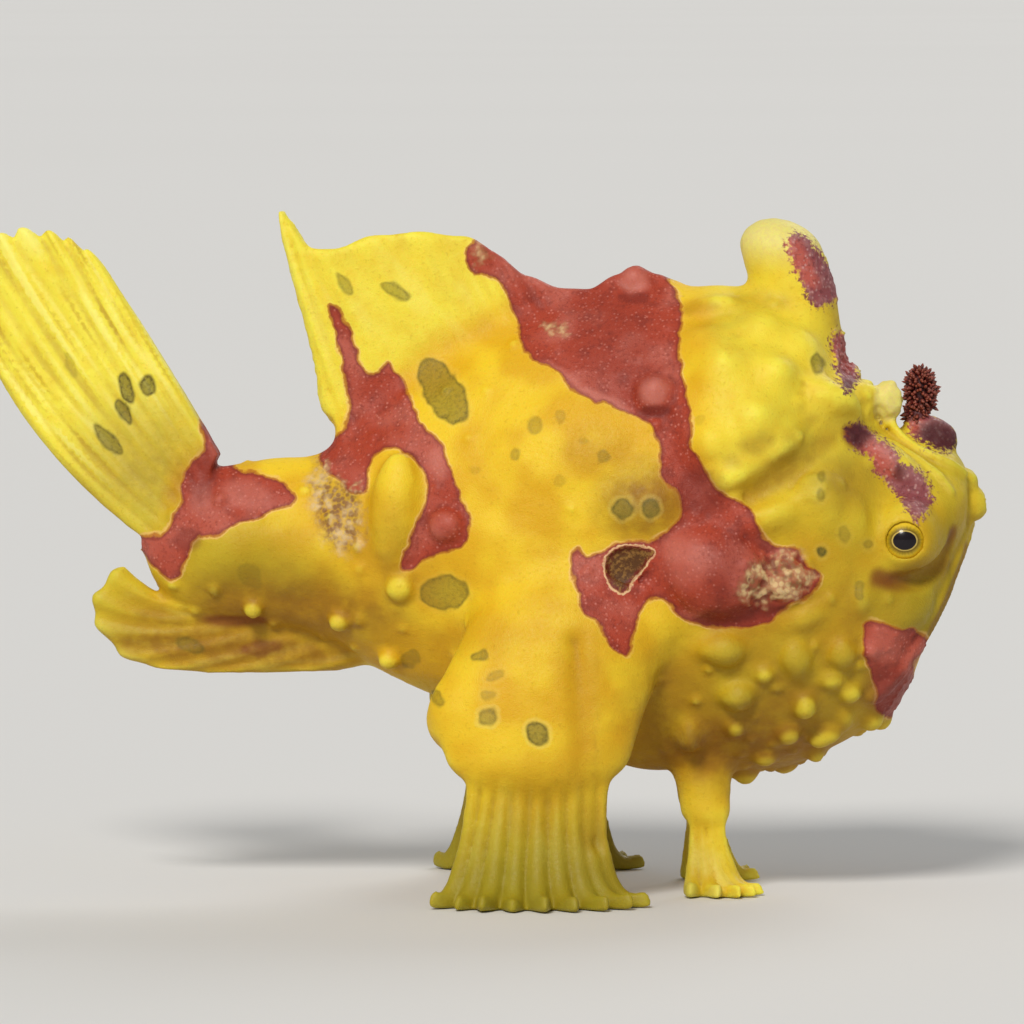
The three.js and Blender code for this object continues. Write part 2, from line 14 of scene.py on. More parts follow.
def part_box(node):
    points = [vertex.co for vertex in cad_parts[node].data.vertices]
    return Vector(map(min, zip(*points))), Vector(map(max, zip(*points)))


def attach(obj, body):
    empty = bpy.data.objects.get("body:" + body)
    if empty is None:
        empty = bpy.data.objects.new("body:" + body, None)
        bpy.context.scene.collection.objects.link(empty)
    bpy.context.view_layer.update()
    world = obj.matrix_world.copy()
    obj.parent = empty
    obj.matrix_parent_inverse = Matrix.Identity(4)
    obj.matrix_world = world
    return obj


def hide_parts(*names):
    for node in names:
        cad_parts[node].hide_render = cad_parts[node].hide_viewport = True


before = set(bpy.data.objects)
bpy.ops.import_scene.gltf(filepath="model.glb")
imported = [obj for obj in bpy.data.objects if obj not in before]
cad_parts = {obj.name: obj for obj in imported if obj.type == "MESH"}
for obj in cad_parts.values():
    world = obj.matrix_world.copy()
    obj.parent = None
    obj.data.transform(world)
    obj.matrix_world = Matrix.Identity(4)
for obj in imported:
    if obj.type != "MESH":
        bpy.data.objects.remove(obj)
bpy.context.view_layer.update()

MM = 0.001
RIGHT, LEFT = -1, 1
SIDES = (RIGHT, LEFT)

# The photograph's frame: where the point at its middle lies, and how wide it is at the middle plane.
PIXELS_PER_MM = 10
FLOOR_ROW = 890
VIEW_MIDDLE = (51.2, 0.0, 37.8)
VIEW_WIDTH = 102.4
CAMERA_DISTANCE = 900
CAMERA_ELEVATION = 3.6
SENSOR_WIDTH = 36

# The body in side view and from above: [x, height of the back], [x, height of the belly], [x, half width].
BACK = [
    [14, 34], [17, 39.2], [21, 42], [26, 43], [31, 43.4], [36, 46.5], [41, 50.5], [46, 53.8], [52, 56.8],
    [58, 58.8], [64, 60], [70, 60.4], [76, 60.2], [80, 58.2], [83, 54.8], [86, 49.8], [88.5, 46.6],
    [91.5, 45.6], [94.5, 44.6], [96.4, 42.4], [97, 39],
]
BELLY = [
    [14, 34], [15.3, 31.2], [17, 29], [21, 27.4], [27, 26.6], [33, 25], [38, 22], [43, 19.6], [48, 17.2],
    [54, 14.8], [60, 13], [66, 12], [72, 11.8], [78, 12.3], [81.5, 13.4], [84.5, 15], [87, 16.4],
    [89.2, 17.9], [90.8, 20.6], [92.3, 24.2], [94.2, 29], [95.6, 33.4], [96.5, 36.5], [97, 39],
]
HALF_WIDTH = [
    [14, 0], [15, 2], [17, 3.2], [21, 4.4], [27, 5.6], [33, 7], [40, 9], [47, 11], [54, 12.8], [61, 14],
    [68, 14.6], [75, 14.6], [81, 14.2], [86, 13.2], [90, 11.8], [93, 10.2], [95.3, 8], [96.4, 5.8], [97, 0],
]
BACK_TAPER = 0.22
BELLY_FULLNESS = 0.8

# The head
MOUTH_LINE = [[96.9, 37.2], [95.7, 34.5], [93.8, 30], [91.8, 26.2], [89.4, 22.6], [87.2, 20.2]]
LIP_RADIUS = 0.95
MOUTH_GROOVE_RADIUS = 0.22
HEAD_MIDDLE = (78.0, 0, 30)
EYE = {"x": 89.9, "y": 11, "z": 35.8, "radius": 2.5, "opening": 1.95}
ORBIT = {"x": 89.8, "y": 9.8, "z": 35.8, "radius": 3.9}

# The dorsal spines, the lure and a knob on the back's edge
THIRD_SPINE = [
    {"at": [80, 0, 51], "a": 4.6, "b": 4.4},
    {"at": [79.6, 0, 56], "a": 4.5, "b": 4.2},
    {"at": [79.3, 0, 60], "a": 4.2, "b": 3.8},
    {"at": [78.2, 0, 63.6], "a": 4.1, "b": 3.8},
    {"at": [77.3, 0, 67.2], "a": 3.9, "b": 3.6},
]
SECOND_SPINE_LOBE = {"at": [93, -0.4, 45.9], "radii": [2.8, 1.6, 1.5], "tilt": 0.42}
SECOND_SPINE_TUFT = {"at": [92, -0.3, 49.9], "radii": [1.6, 1.5, 2.5]}
SECOND_SPINE_STEM = {"at": [91.6, -0.4, 47.6], "radii": [1.3, 1.1, 1.6]}
LURE_ROD = [[96.1, 41.9], [94.6, 43], [92.4, 44], [90.4, 45.2]]
LURE_ROD_END = [88.8, -2.6, 47]
LURE_ROD_RADIUS = 0.5
LURE_BAIT = {"at": [88.6, -2.4, 49.1], "radii": [1.5, 1.4, 1.9]}
BACK_KNOB = {"at": [63.4, -0.3, 61.0], "radii": [1.45, 1.3, 1.5]}

# Fins: each key ray is [root, bend, tip], listed from one end of the fin to the other. root and tip are
# half thicknesses, ridge is how far a ray stands out, and scallop and notch shape the margin.
DORSAL_FIN = {
    "keys": [
        [[69, 0, 56], [68.4, 0, 58.6], [67.4, 0, 60.6]],
        [[65, 0, 56], [64.4, 0, 59.4], [63.6, 0, 62.2]],
        [[61, 0, 55.4], [59.9, 0, 58], [58.4, 0, 59.9]],
        [[57, 0, 53.8], [55, 0, 57.2], [52.6, 0, 61.4]],
        [[53, 0, 52], [50.4, 0, 57.4], [47.4, 0, 65]],
        [[48, 0, 49], [43.6, 0, 56], [38.4, 0, 65.5]],
        [[41, 0, 45.5], [36.5, 0, 53], [31.5, 0, 64]],
        [[37, 0, 42.5], [33.6, 0.3, 49], [28.2, 0.8, 67.8]],
        [[35.4, 0, 41.2], [33.4, 0.3, 46.4], [33.2, 0.5, 52.6]],
    ],
    "rays": 13, "root": 2.2, "tip": 0.45, "ridge": 0.3, "scallop": 0.25, "blend": 2.2, "streaked": 0.3,
}
ANAL_FIN = {
    "keys": [
        [[40, 0, 24], [37, 0, 22.4], [33.5, 0, 21.9]],
        [[35, 0, 26], [27, 0, 22.5], [20, 0, 21.9]],
        [[30, 0, 27.5], [21, 0, 23.5], [12.6, -0.3, 23.4]],
        [[25, 0, 28.5], [17, 0, 25], [9.4, -0.5, 28.6]],
        [[22, 0, 28.8], [16.2, -0.2, 28], [12.4, -0.6, 32.6]],
    ],
    "rays": 7, "root": 1.5, "tip": 0.7, "ridge": 0.28, "scallop": 0.5, "blend": 0.8, "streaked": 0.35,
}
TAIL_FIN = {
    "keys": [
        [[22, 0, 43.6], [16.8, 0.6, 52.6], [9.8, 2.4, 63.4]],
        [[20.5, 0, 41], [12.6, 0.8, 53], [5.4, 3, 65.8]],
        [[18.8, 0, 39], [8.8, 0.9, 50.6], [-0.2, 3.4, 65.6]],
        [[17.2, 0, 36.8], [5.6, 0.9, 46.6], [-2.4, 3.2, 60.6]],
        [[15.4, 0, 34.6], [4.8, 0.7, 41.6], [-2, 2.6, 54.4]],
    ],
    "rays": 9, "root": 1.8, "tip": 0.3, "ridge": 0.36, "scallop": 0, "notch": 1, "blend": 1.2,
    "streaked": 1,
}

# The right limbs: ovals with half axes a along x and b along y, and fans of rays that end on the floor.
ARM = [
    {"at": [58.5, -8, 35], "a": 7.6, "b": 5},
    {"at": [57, -12, 28], "a": 9.8, "b": 4.6},
    {"at": [54.4, -14.4, 21], "a": 10.6, "b": 3.9},
    {"at": [53.8, -15.8, 16], "a": 9.4, "b": 3.1},
    {"at": [53.6, -16.6, 10.4], "a": 7.9, "b": 2.4},
]
ELBOW = {"at": [45.8, -13.8, 18.2], "radii": [3, 2.6, 3.2]}
HAND = {
    "keys": [
        [[60.8, -16.2, 13.5], [59.4, -16.6, -1.6], [64.6, -17.6, 0.5]],
        [[57.8, -16.6, 13.5], [57.2, -17.4, -1.8], [60.4, -21.4, 0.5]],
        [[54, -16.6, 13.5], [53.2, -17.8, -1.8], [54.2, -23, 0.5]],
        [[50.2, -16.6, 13.5], [48.8, -17.4, -1.8], [47.8, -22, 0.5]],
        [[47, -16.2, 13.5], [45.8, -16.6, -1.6], [43, -18.8, 0.5]],
    ],
    "rays": 9, "root": 0.9, "tip": 0.2, "ridge": 0.65, "scallop": 1.4, "notch": 1.6, "blend": 0.8,
    "streaked": 0.6,
}
LEG = [
    {"at": [69.6, -4.4, 16.5], "a": 3, "b": 2.4},
    {"at": [70.2, -5.4, 11.6], "a": 2.8, "b": 2.1},
    {"at": [70.6, -6.2, 6.6], "a": 2.2, "b": 1.6},
]
FOOT = {
    "keys": [
        [[72.2, -6, 8.8], [72.4, -6.6, -1], [76, -6.6, 0.5]],
        [[70.8, -6.2, 8.8], [71.2, -7, -1.2], [73.4, -10, 0.5]],
        [[69, -6, 8.8], [68.8, -6.6, -1], [67.8, -9.2, 0.5]],
    ],
    "rays": 5, "root": 0.7, "tip": 0.2, "ridge": 0.6, "scallop": 1, "notch": 1.2, "blend": 0.6,
    "streaked": 0.6,
}

# The fleshy lobe of the hind flank, and the largest warts: [x, z, radius along the skin, height].
FLANK_LOBE = {"x": 39.8, "z": 38.2, "sunk": 0.9, "radii": [2.7, 2.6, 6]}
LARGE_WARTS = [
    [72.5, 24, 1.5, 1.2], [73.8, 19.4, 1.4, 1.3], [81.8, 15.4, 1.1, 1.2], [79.6, 23.2, 1.3, 0.9],
    [84.2, 23.6, 1.2, 0.9], [85, 19.8, 1.1, 1], [65.5, 49.5, 1.7, 0.9], [44.5, 36.4, 1.5, 1.2],
    [25.4, 28.3, 0.9, 1.1], [34, 27, 1, 1.2], [40, 30.2, 1.3, 1], [39, 23.2, 1.1, 1.2],
]

# Markings, in the photograph's pixels
MAIN_SADDLE = [
    [464, 262], [468, 246], [482, 234], [520, 234], [600, 262], [636, 240], [662, 262], [674, 290],
    [681, 302], [682, 322], [679, 345], [681, 370], [686, 390], [690, 410], [692, 430], [690, 446],
    [698, 456], [706, 468], [713, 483], [722, 492], [735, 500], [749, 508], [755, 519], [759, 531],
    [767, 542], [781, 548], [796, 546], [801, 556], [810, 563], [819, 573], [821, 584], [812, 594],
    [800, 600], [786, 606], [776, 618], [764, 623], [750, 627], [734, 628], [716, 627], [700, 626],
    [689, 622], [680, 619], [674, 608], [665, 600], [654, 598], [645, 603], [639, 612], [635, 628],
    [632, 645], [628, 657], [619, 652], [609, 645], [603, 632], [596, 620], [585, 616], [579, 602],
    [577, 588], [571, 572], [569, 556], [577, 549], [587, 556], [600, 553], [612, 545], [630, 541],
    [648, 542], [657, 538], [664, 534], [673, 525], [680, 515], [682, 502], [678, 492], [668, 486],
    [662, 478], [660, 460], [661, 445], [655, 432], [645, 420], [630, 414], [612, 406], [598, 402],
    [585, 397], [572, 388], [560, 376], [545, 365], [530, 357], [522, 348], [518, 335], [516, 318],
    [509, 303], [508, 291], [500, 281], [486, 276], [472, 274],
]
REAR_SADDLE = [
    [329, 301], [338, 308], [346, 321], [353, 336], [357, 353], [361, 368], [367, 374], [377, 374],
    [384, 366], [390, 362], [397, 372], [404, 382], [411, 398], [417, 415], [424, 430], [435, 438],
    [445, 450], [451, 465], [454, 480], [458, 492], [466, 505], [470, 520], [468, 540], [460, 548],
    [445, 552], [430, 557], [420, 565], [408, 572], [400, 569], [400, 561], [406, 550], [413, 535],
    [419, 515], [426, 500], [428, 482], [421, 468], [412, 456], [400, 450], [389, 448], [378, 452],
    [371, 460], [368, 473], [366, 494], [352, 496], [338, 478], [326, 472], [319, 462], [321, 445],
    [327, 437], [337, 435], [345, 427], [349, 411], [348, 395], [345, 375], [340, 355], [336, 335],
    [330, 318],
]
TAIL_BASE_PATCH = [
    [198, 418], [206, 415], [212, 425], [215, 440], [222, 448], [229, 462], [238, 470], [255, 472],
    [271, 476], [286, 486], [298, 500], [290, 508], [276, 508], [263, 515], [255, 520], [240, 522],
    [229, 528], [215, 536], [203, 538], [197, 535], [191, 546], [187, 560], [181, 573], [172, 580],
    [159, 572], [148, 560], [139, 548], [131, 536], [150, 536], [164, 532], [172, 520], [178, 510],
    [182, 500], [180, 485], [185, 470], [192, 460], [203, 455], [205, 445],
]
CHIN_PATCH = [
    [865, 617], [880, 622], [895, 628], [909, 628], [922, 633], [932, 640], [926, 652], [914, 662],
    [914, 676], [908, 692], [908, 708], [898, 716], [884, 716], [873, 709], [877, 695], [872, 680],
    [867, 665], [864, 650], [862, 634],
]
RED_PATCHES = [MAIN_SADDLE, REAR_SADDLE, TAIL_BASE_PATCH, CHIN_PATCH]
BROW_BAND = [
    [844, 430], [852, 422], [862, 421], [872, 432], [882, 440], [896, 449], [903, 461], [916, 466],
    [926, 478], [934, 492], [933, 506], [926, 516], [917, 522], [909, 513], [904, 501], [894, 494],
    [884, 481], [874, 470], [867, 456], [855, 449], [846, 440],
]
SPINE_PATCH = [
    [786, 241], [794, 231], [806, 236], [818, 248], [830, 262], [842, 276], [842, 300], [830, 306],
    [821, 310], [811, 305], [804, 292], [797, 278], [789, 262],
]
CREST_PATCH = [
    [832, 328], [846, 334], [858, 348], [860, 368], [858, 386], [850, 396], [840, 388], [835, 370],
    [831, 350],
]
LOBE_PATCH = [
    [903, 416], [924, 408], [946, 416], [962, 433], [960, 449], [941, 454], [924, 447], [910, 433],
]
PLUM_PATCHES = [BROW_BAND, SPINE_PATCH, CREST_PATCH, LOBE_PATCH]
BAIT_OUTLINE = [[866, 380], [904, 380], [904, 424], [866, 424]]
CRUST_PATCHES = [
    [
        [738, 566], [760, 552], [781, 549], [797, 546], [812, 562], [822, 578], [812, 596], [786, 606],
        [765, 612], [744, 606], [732, 588],
    ],
    [[466, 250], [484, 236], [494, 250], [492, 270], [476, 274]],
    [[536, 318], [556, 316], [572, 326], [566, 338], [546, 334]],
    [
        [316, 446], [330, 470], [352, 482], [368, 486], [368, 545], [345, 560], [322, 548], [308, 520],
        [306, 470],
    ],
]
# Olive spots: column, row, half length, half width, turn in degrees, strength, paleness of the ring.
SPOTS = [
    [443, 391, 36, 19, 58, 1.1, 0.35], [445, 593, 25, 17, 0, 1.0, 0.2], [344, 284, 13, 5, 55, 0.8, 0],
    [396, 291, 15, 7, 30, 0.9, 0], [250, 575, 14, 11, 60, 0.35, 0], [412, 658, 9, 8, 0, 0.6, 0],
    [623, 508, 11, 10, 0, 1.1, 0.6], [650, 508, 10, 9, 90, 1.1, 0.6], [535, 425, 8, 7, 90, 0.6, 0],
    [515, 455, 6, 5, 90, 0.6, 0], [603, 457, 7, 6, 90, 0.6, 0], [560, 417, 6, 5, 90, 0.4, 0],
    [537, 733, 12, 10, 60, 1.2, 1.0], [488, 717, 10, 8, 0, 0.9, 1.0], [479, 656, 9, 5, -15, 0.9, 0],
    [495, 675, 9, 4, -25, 0.5, 0.3], [488, 695, 7, 5, 0, 0.5, 0.4], [437, 698, 9, 6, 70, 0.8, 0],
    [410, 660, 8, 7, 0, 0.6, 0], [127, 388, 15, 7, 75, 1.3, 0], [148, 385, 12, 8, 75, 1.3, 0],
    [124, 412, 14, 6, 65, 1.2, 0], [108, 440, 20, 7, 48, 1.1, 0], [70, 366, 12, 5, 70, 0.4, 0],
    [190, 645, 14, 7, 25, 0.8, 0], [822, 552, 5, 5, 0, 1.3, 0.3], [845, 534, 9, 6, 70, 0.5, 0.2],
    [823, 477, 6, 4, 90, 0.7, 0.2], [821, 495, 6, 4, 90, 0.7, 0.2], [860, 590, 9, 5, 80, 0.7, 0],
    [818, 363, 11, 6, 80, 1.0, 0.4], [868, 545, 5, 4, 0, 0.6, 0.2], [582, 440, 5, 4, 0, 0.3, 0],
    [700, 420, 6, 5, 0, 0.25, 0], [475, 470, 5, 4, 0, 0.25, 0], [560, 480, 5, 5, 0, 0.3, 0],
]
# Soft ovals: column, row, half length, half width, turn in degrees, amount. First brown stains and painted
# shade.
# The throat, under the eye, the anal fin's base, the rear flank, between arm and chest and the crown's
# hollows are painted shade.
STAINS_AND_SHADE = [
    [645, 504, 42, 36, 0, 0.9], [610, 555, 26, 16, -15, 0.3], [600, 455, 40, 24, 10, 0.25],
    [910, 575, 46, 12, -15, 0.6], [740, 745, 100, 40, -4, 0.85], [230, 648, 120, 26, 4, 0.8],
    [300, 608, 110, 34, 5, 0.7], [860, 440, 26, 16, 30, 0.5], [790, 466, 60, 15, -35, 0.6],
    [762, 442, 14, 8, -20, 0.4], [840, 478, 34, 24, 0, 0.5], [730, 320, 24, 14, -20, 0.25],
    [470, 640, 60, 24, 0, 0.12], [395, 560, 34, 50, 0, 0.45], [215, 625, 80, 14, 8, 0.6],
    [596, 720, 12, 90, 0, 0.35], [850, 640, 30, 60, 0, 0.4], [770, 620, 90, 70, 0, 0.35],
    [752, 446, 13, 9, 0, 0.45], [733, 461, 10, 7, 0, 0.3], [786, 460, 11, 9, 0, 0.55],
    [800, 430, 22, 8, -40, 0.35], [760, 300, 30, 9, 5, 0.3], [700, 308, 20, 6, -10, 0.3],
    [150, 470, 60, 60, 40, 0.6], [780, 704, 50, 30, -10, 0.6], [834, 314, 8, 26, -15, 0.45],
    [660, 720, 34, 60, 10, 0.7], [560, 640, 16, 80, 0, 0.15],
]
# Painted shade, greener and duller, on face, throat, toes and hind flank
SHADES = [
    [915, 610, 60, 60, 0, 0.75], [950, 560, 26, 80, 0, 0.8], [850, 570, 60, 110, 0, 0.5],
    [790, 690, 120, 70, 0, 0.5], [960, 470, 40, 50, 0, 0.45], [540, 890, 150, 80, 0, 0.9],
    [110, 600, 50, 40, 0, 0.4], [235, 560, 80, 40, 8, 0.55],
]
# The darker parts of the saddles, and dark spots at the brow and on the anal fin; some are painted shade.
# Painted shadow under the red swelling and under the knobs, and painted shade on the swelling's right half
DARK_RED_AND_SHADOWS = [
    [262, 648, 20, 9, -5, 0.55], [857, 436, 15, 12, 30, 1.0], [740, 614, 46, 9, -8, 0.7],
    [655, 411, 17, 7, 0, 0.7], [634, 298, 17, 6, 0, 0.6], [204, 478, 10, 30, 12, 0.5],
    [188, 540, 14, 12, 0, 0.5], [700, 492, 26, 24, 50, 0.55], [612, 345, 40, 60, -20, 0.25],
    [726, 570, 18, 36, 10, 0.35], [888, 690, 24, 26, 0, 0.6],
]
# The pinker parts of the saddles, and a painted highlight on the red swelling's left side
PINK_PARTS_AND_HIGHLIGHT = [
    [654, 391, 14, 13, 0, 1.0], [634, 281, 14, 12, 0, 0.9], [886, 640, 18, 26, 5, 0.45],
    [684, 560, 22, 26, 0, 0.45], [438, 464, 9, 15, -15, 0.8], [200, 500, 10, 16, 20, 0.6],
    [246, 494, 26, 14, 10, 0.5], [560, 378, 30, 9, 30, 0.7], [594, 399, 40, 8, 20, 1.0],
]
# Where the plum bands are rosy, and where they are darkest
ROSY_PARTS = [
    [880, 458, 26, 12, 45, 0.9], [800, 262, 30, 10, 60, 0.9], [843, 350, 24, 11, 75, 0.4],
    [910, 422, 13, 10, 0, 0.9],
]
DARKEST_PARTS = [
    [900, 471, 5, 9, 10, 0.8], [856, 434, 16, 12, 30, 1.0], [942, 438, 24, 15, 20, 1.0],
    [850, 388, 10, 10, 0, 0.7],
]

# The scar, with its pit's half axes in mm
SCAR_PIT = [2.1, 1.9, 0.5]
SCAR = [
    [603, 560], [610, 551], [622, 546], [638, 545], [650, 546], [655, 551], [651, 562], [643, 571],
    [635, 580], [629, 591], [621, 595], [614, 589], [607, 579], [602, 570],
]
# Swellings of flank and crown: column, row, half sizes in mm, height and turn
SWELLINGS = [
    [714, 572, 5.6, 4.9, 2.9, -0.15], [658, 626, 2.2, 2.6, 1.0, 0.3], [722, 648, 2.9, 1.8, 1.5, 0.05],
    [738, 694, 2.1, 1.3, 1.6, 0.2], [655, 393, 1.7, 1.7, 1.8, 0.0], [452, 524, 1.3, 1.3, 1.2, 0.0],
    [796, 660, 1.5, 2.6, 1.2, 0.1], [842, 654, 1.3, 2.0, 1.0, 0.0], [806, 618, 2.8, 1.5, 0.7, 0.5],
    [784, 582, 2.8, 2.2, 1.5, 0.2], [862, 602, 1.2, 1.8, 0.6, 0.0], [690, 735, 1.5, 2.2, 1.6, 0.0],
    [300, 560, 5.5, 3.6, 0.7, 0.1], [230, 552, 5.4, 3.4, 1.0, 0.4], [642, 505, 4.0, 3.0, 0.9, 0.0],
    [560, 440, 7.0, 5.0, 0.5, 0.3], [500, 560, 6.0, 4.5, 0.5, -0.2], [845, 720, 1.2, 1.8, 0.8, 0.2],
]
CROWN_SWELLINGS = [
    [735, 405, 6.2, 7.6, 2.5, 0.1], [708, 348, 2.8, 2.4, 1.5, 0.0], [832, 404, 3.6, 2.0, 2.4, -0.35],
    [785, 452, 3.0, 2.2, 1.7, 0.5], [772, 514, 3.4, 2.0, 1.4, 0.35], [828, 502, 2.3, 3.0, 1.4, 0.0],
    [720, 308, 2.6, 1.5, 1.2, 0.0], [856, 520, 1.5, 2.6, 1.0, 0.0], [800, 350, 2.6, 3.0, 1.2, 0.0],
    [760, 330, 2.4, 2.2, 1.2, 0.0], [722, 374, 2.8, 2.6, 2.9, 0.2], [754, 424, 2.6, 2.8, 3.2, 0.0],
    [712, 446, 2.4, 2.6, 2.6, 0.0], [774, 378, 2.4, 2.2, 2.6, 0.0], [735, 478, 2.6, 2.0, 1.9, 0.4],
]
CROWN_CREASE = [[742, 500], [762, 492], [785, 478], [806, 460], [826, 440], [842, 430]]
CROWN_CREASE_RADII = [0.5, 1.0, 1.3, 1.3, 1.1, 0.6]
# The fold between tail stalk and anal fin: x and z
HIND_FOLD = [[16.6, 29.2], [19, 28], [22, 27.4], [26, 27.2]]

# Warts: x from and to, z from and to, how far apart, how many, least and greatest radius, height as a share
# of the radius, and blend.
WART_KINDS = [
    [71, 88.5, 11, 31, 3.6, 26, 0.6, 1.1, 1.0, 1.1],
    [69, 89, 11, 33, 2.2, 44, 0.3, 0.5, 0.75, 0.6],
    [69, 87, 36, 57, 4.6, 14, 0.8, 1.3, 0.3, 1.3],
    [66, 88, 34, 59, 3.2, 34, 0.25, 0.4, 0.45, 0.6],
    [34, 68, 14, 58, 4.2, 60, 0.25, 0.45, 0.5, 0.6],
    [14, 36, 22, 44, 3.4, 26, 0.3, 0.6, 0.7, 0.6],
]
# Grains on markings and bait: the outline they grow in, then the same numbers from how far apart on.
GRAIN_KINDS = [
    [BROW_BAND, 0.5, 340, 0.16, 0.26, 0.9, 0.15],
    [SPINE_PATCH, 0.5, 340, 0.16, 0.26, 0.9, 0.15],
    [CREST_PATCH, 0.5, 240, 0.18, 0.34, 1.4, 0.15],
    [CHIN_PATCH, 0.7, 120, 0.18, 0.3, 0.7, 0.3],
    [LOBE_PATCH, 0.5, 160, 0.16, 0.28, 0.9, 0.2],
    [BAIT_OUTLINE, 0.9, 60, 0.3, 0.5, 0.5, 0.4],
    [CRUST_PATCHES[0], 0.6, 300, 0.2, 0.45, 0.8, 0.3],
]

# Grid and mesh
STEP = 0.25
BAND = 3.0
FIELD_LOW = (-6, -27, -2)
FIELD_HIGH = (102, 27, 71)


# Numbers and curves
def mix(a, b, t):
    return a + (b - a) * t


def ramp(x, low, high):
    """0 below low, 1 above high and smooth between."""
    t = np.clip((x - low) / (high - low), 0, 1)
    return t * t * (3 - 2 * t)


def profile(knots):
    """A smooth curve through [x, value] knots, with no overshoot between them."""
    x, y = np.array(knots, float).T
    rise = np.diff(y) / np.diff(x)
    slope = np.zeros(len(x))
    product = rise[:-1] * rise[1:]
    total = rise[:-1] + rise[1:]
    inner = product > 0
    slope[1:-1][inner] = 2 * product[inner] / total[inner]

    def at(q):
        q = np.asarray(q, float)
        i = np.clip(np.searchsorted(x, q, side="right") - 1, 0, len(x) - 2)
        w = x[i + 1] - x[i]
        t = np.clip((q - x[i]) / w, 0, 1)
        u = 1 - t
        level = y[i] * (1 + 2 * t) * u * u + y[i + 1] * t * t * (3 - 2 * t)
        return level + w * t * u * (slope[i] * u - slope[i + 1] * t)

    return at


def curve(points):
    """A smooth centripetal curve through points, as a function of shares from 0 to 1."""
    p = np.array(points, float)
    p = np.vstack([2 * p[0] - p[1], p, 2 * p[-1] - p[-2]])
    gaps = np.linalg.norm(np.diff(p, axis=0), axis=1) ** 0.5

    def at(share):
        t = np.clip(np.asarray(share, float), 0, 1) * (len(points) - 1)
        i = np.minimum(t.astype(int), len(points) - 2)
        w = (t - i)[..., None]
        p0, p1, p2, p3 = (p[i + k] for k in range(4))
        d0, d1, d2 = (gaps[i + k][..., None] for k in range(3))
        m1 = ((p1 - p0) / d0 - (p2 - p0) / (d0 + d1) + (p2 - p1) / d1) * d1
        m2 = ((p2 - p1) / d1 - (p3 - p1) / (d1 + d2) + (p3 - p2) / d2) * d1
        c2 = -3 * p1 + 3 * p2 - 2 * m1 - m2
        c3 = 2 * p1 - 2 * p2 + m1 + m2
        return p1 + w * (m1 + w * (c2 + w * c3))

    return at


def on_side(side, point):
    x, y, z = point
    return [x, y if side == RIGHT else -y, z]


def on_right(points):
    """Points of either side, all on the fish's right."""
    return np.stack([points[:, 0], -np.abs(points[:, 1]), points[:, 2]], -1)


def from_eye(points):
    """How far points are from the middle of the eye in the side view."""
    return np.hypot(points[:, 0] - EYE["x"], points[:, 2] - EYE["z"])


def noise(points, size, seed):
    """Smooth noise from -1 to 1 whose features are about size across."""
    scaled = points / size
    cell = np.floor(scaled).astype(np.int64)
    f = scaled - cell
    f = f * f * (3 - 2 * f)
    total = np.zeros(len(points))
    for corner in np.ndindex(2, 2, 2):
        c = cell + corner
        h = (c[:, 0] * 73856093) ^ (c[:, 1] * 19349663) ^ (c[:, 2] * 83492791) ^ (seed * 2654435761)
        h = ((h ^ (h >> 13)) * 1274126177) & 0xFFFFFFFF
        h = ((h ^ (h >> 16)) * 2246822519) & 0xFFFFFFFF
        value = ((h ^ (h >> 15)) & 0xFFFF) / 32767.5 - 1
        weight = np.prod(np.where(np.array(corner, bool), f, 1 - f), axis=1)
        total += weight * value
    return total


def mottle(points, size, seed):
    """Noise with noise of half its size on it."""
    return (noise(points, size, seed) + noise(points, size / 2, seed + 1) / 2) / 1.5


back_at = profile(BACK)
belly_at = profile(BELLY)
width_at = profile(HALF_WIDTH)
BODY_START, BODY_END = BACK[0][0], BACK[-1][0]


def skin_point(x, angle):
    """The skin at x and at an angle round the body: 0 is the right flank, a quarter turn is the back."""
    x, angle = np.broadcast_arrays(np.asarray(x, float), np.asarray(angle, float))
    top, bottom = back_at(x), belly_at(x)
    across, rise = np.cos(angle), np.sin(angle)
    taper = 1 - BACK_TAPER * np.maximum(0, rise) ** 2
    full = np.where(rise < 0, np.sign(across) * np.abs(across) ** BELLY_FULLNESS, across)
    y = -(width_at(x) * taper) * full
    return np.stack([x, y, (top + bottom) / 2 + ((top - bottom) / 2) * rise], -1)


def flank_point(side, x, z):
    """The point of one flank that is seen at x and z from the side."""
    top, bottom = back_at(x), belly_at(x)
    angle = np.arcsin(np.clip((z - (top + bottom) / 2) / ((top - bottom) / 2), -1, 1))
    return skin_point(x, angle if side == RIGHT else math.pi - angle)


def flank_normal(side, x, z):
    reach = 0.3
    along = flank_point(side, x + reach, z) - flank_point(side, x - reach, z)
    up = flank_point(side, x, z + reach) - flank_point(side, x, z - reach)
    out = np.cross(along, up)
    out /= np.linalg.norm(out)
    return out if out[1] * side > 0 else -out


# Closed surfaces, each as points, quads and triangles
def facing_out(points, quads, corners):
    a, b, c, d = (points[quads[:, k]] for k in range(4))
    volume = np.einsum("ij,ij->", a, np.cross(b, c)) + np.einsum("ij,ij->", a, np.cross(c, d))
    if len(corners):
        a, b, c = (points[corners[:, k]] for k in range(3))
        volume += np.einsum("ij,ij->", a, np.cross(b, c))
    if volume < 0:
        quads, corners = quads[:, ::-1], corners[:, ::-1]
    return points, quads, corners


def lofted(rings, start, end):
    """A closed surface through rings of points, with one point at each end."""
    n, m = rings.shape[:2]
    index = np.arange(n * m).reshape(n, m)
    turned = np.roll(index, -1, 1)
    quads = np.stack([index[:-1], turned[:-1], turned[1:], index[1:]], -1).reshape(-1, 4)
    points = np.vstack([rings.reshape(-1, 3), [start], [end]])
    first, last = np.full(m, n * m), np.full(m, n * m + 1)
    corners = np.vstack([
        np.stack([first, turned[0], index[0]], -1),
        np.stack([last, index[-1], turned[-1]], -1),
    ])
    return facing_out(points, quads, corners)


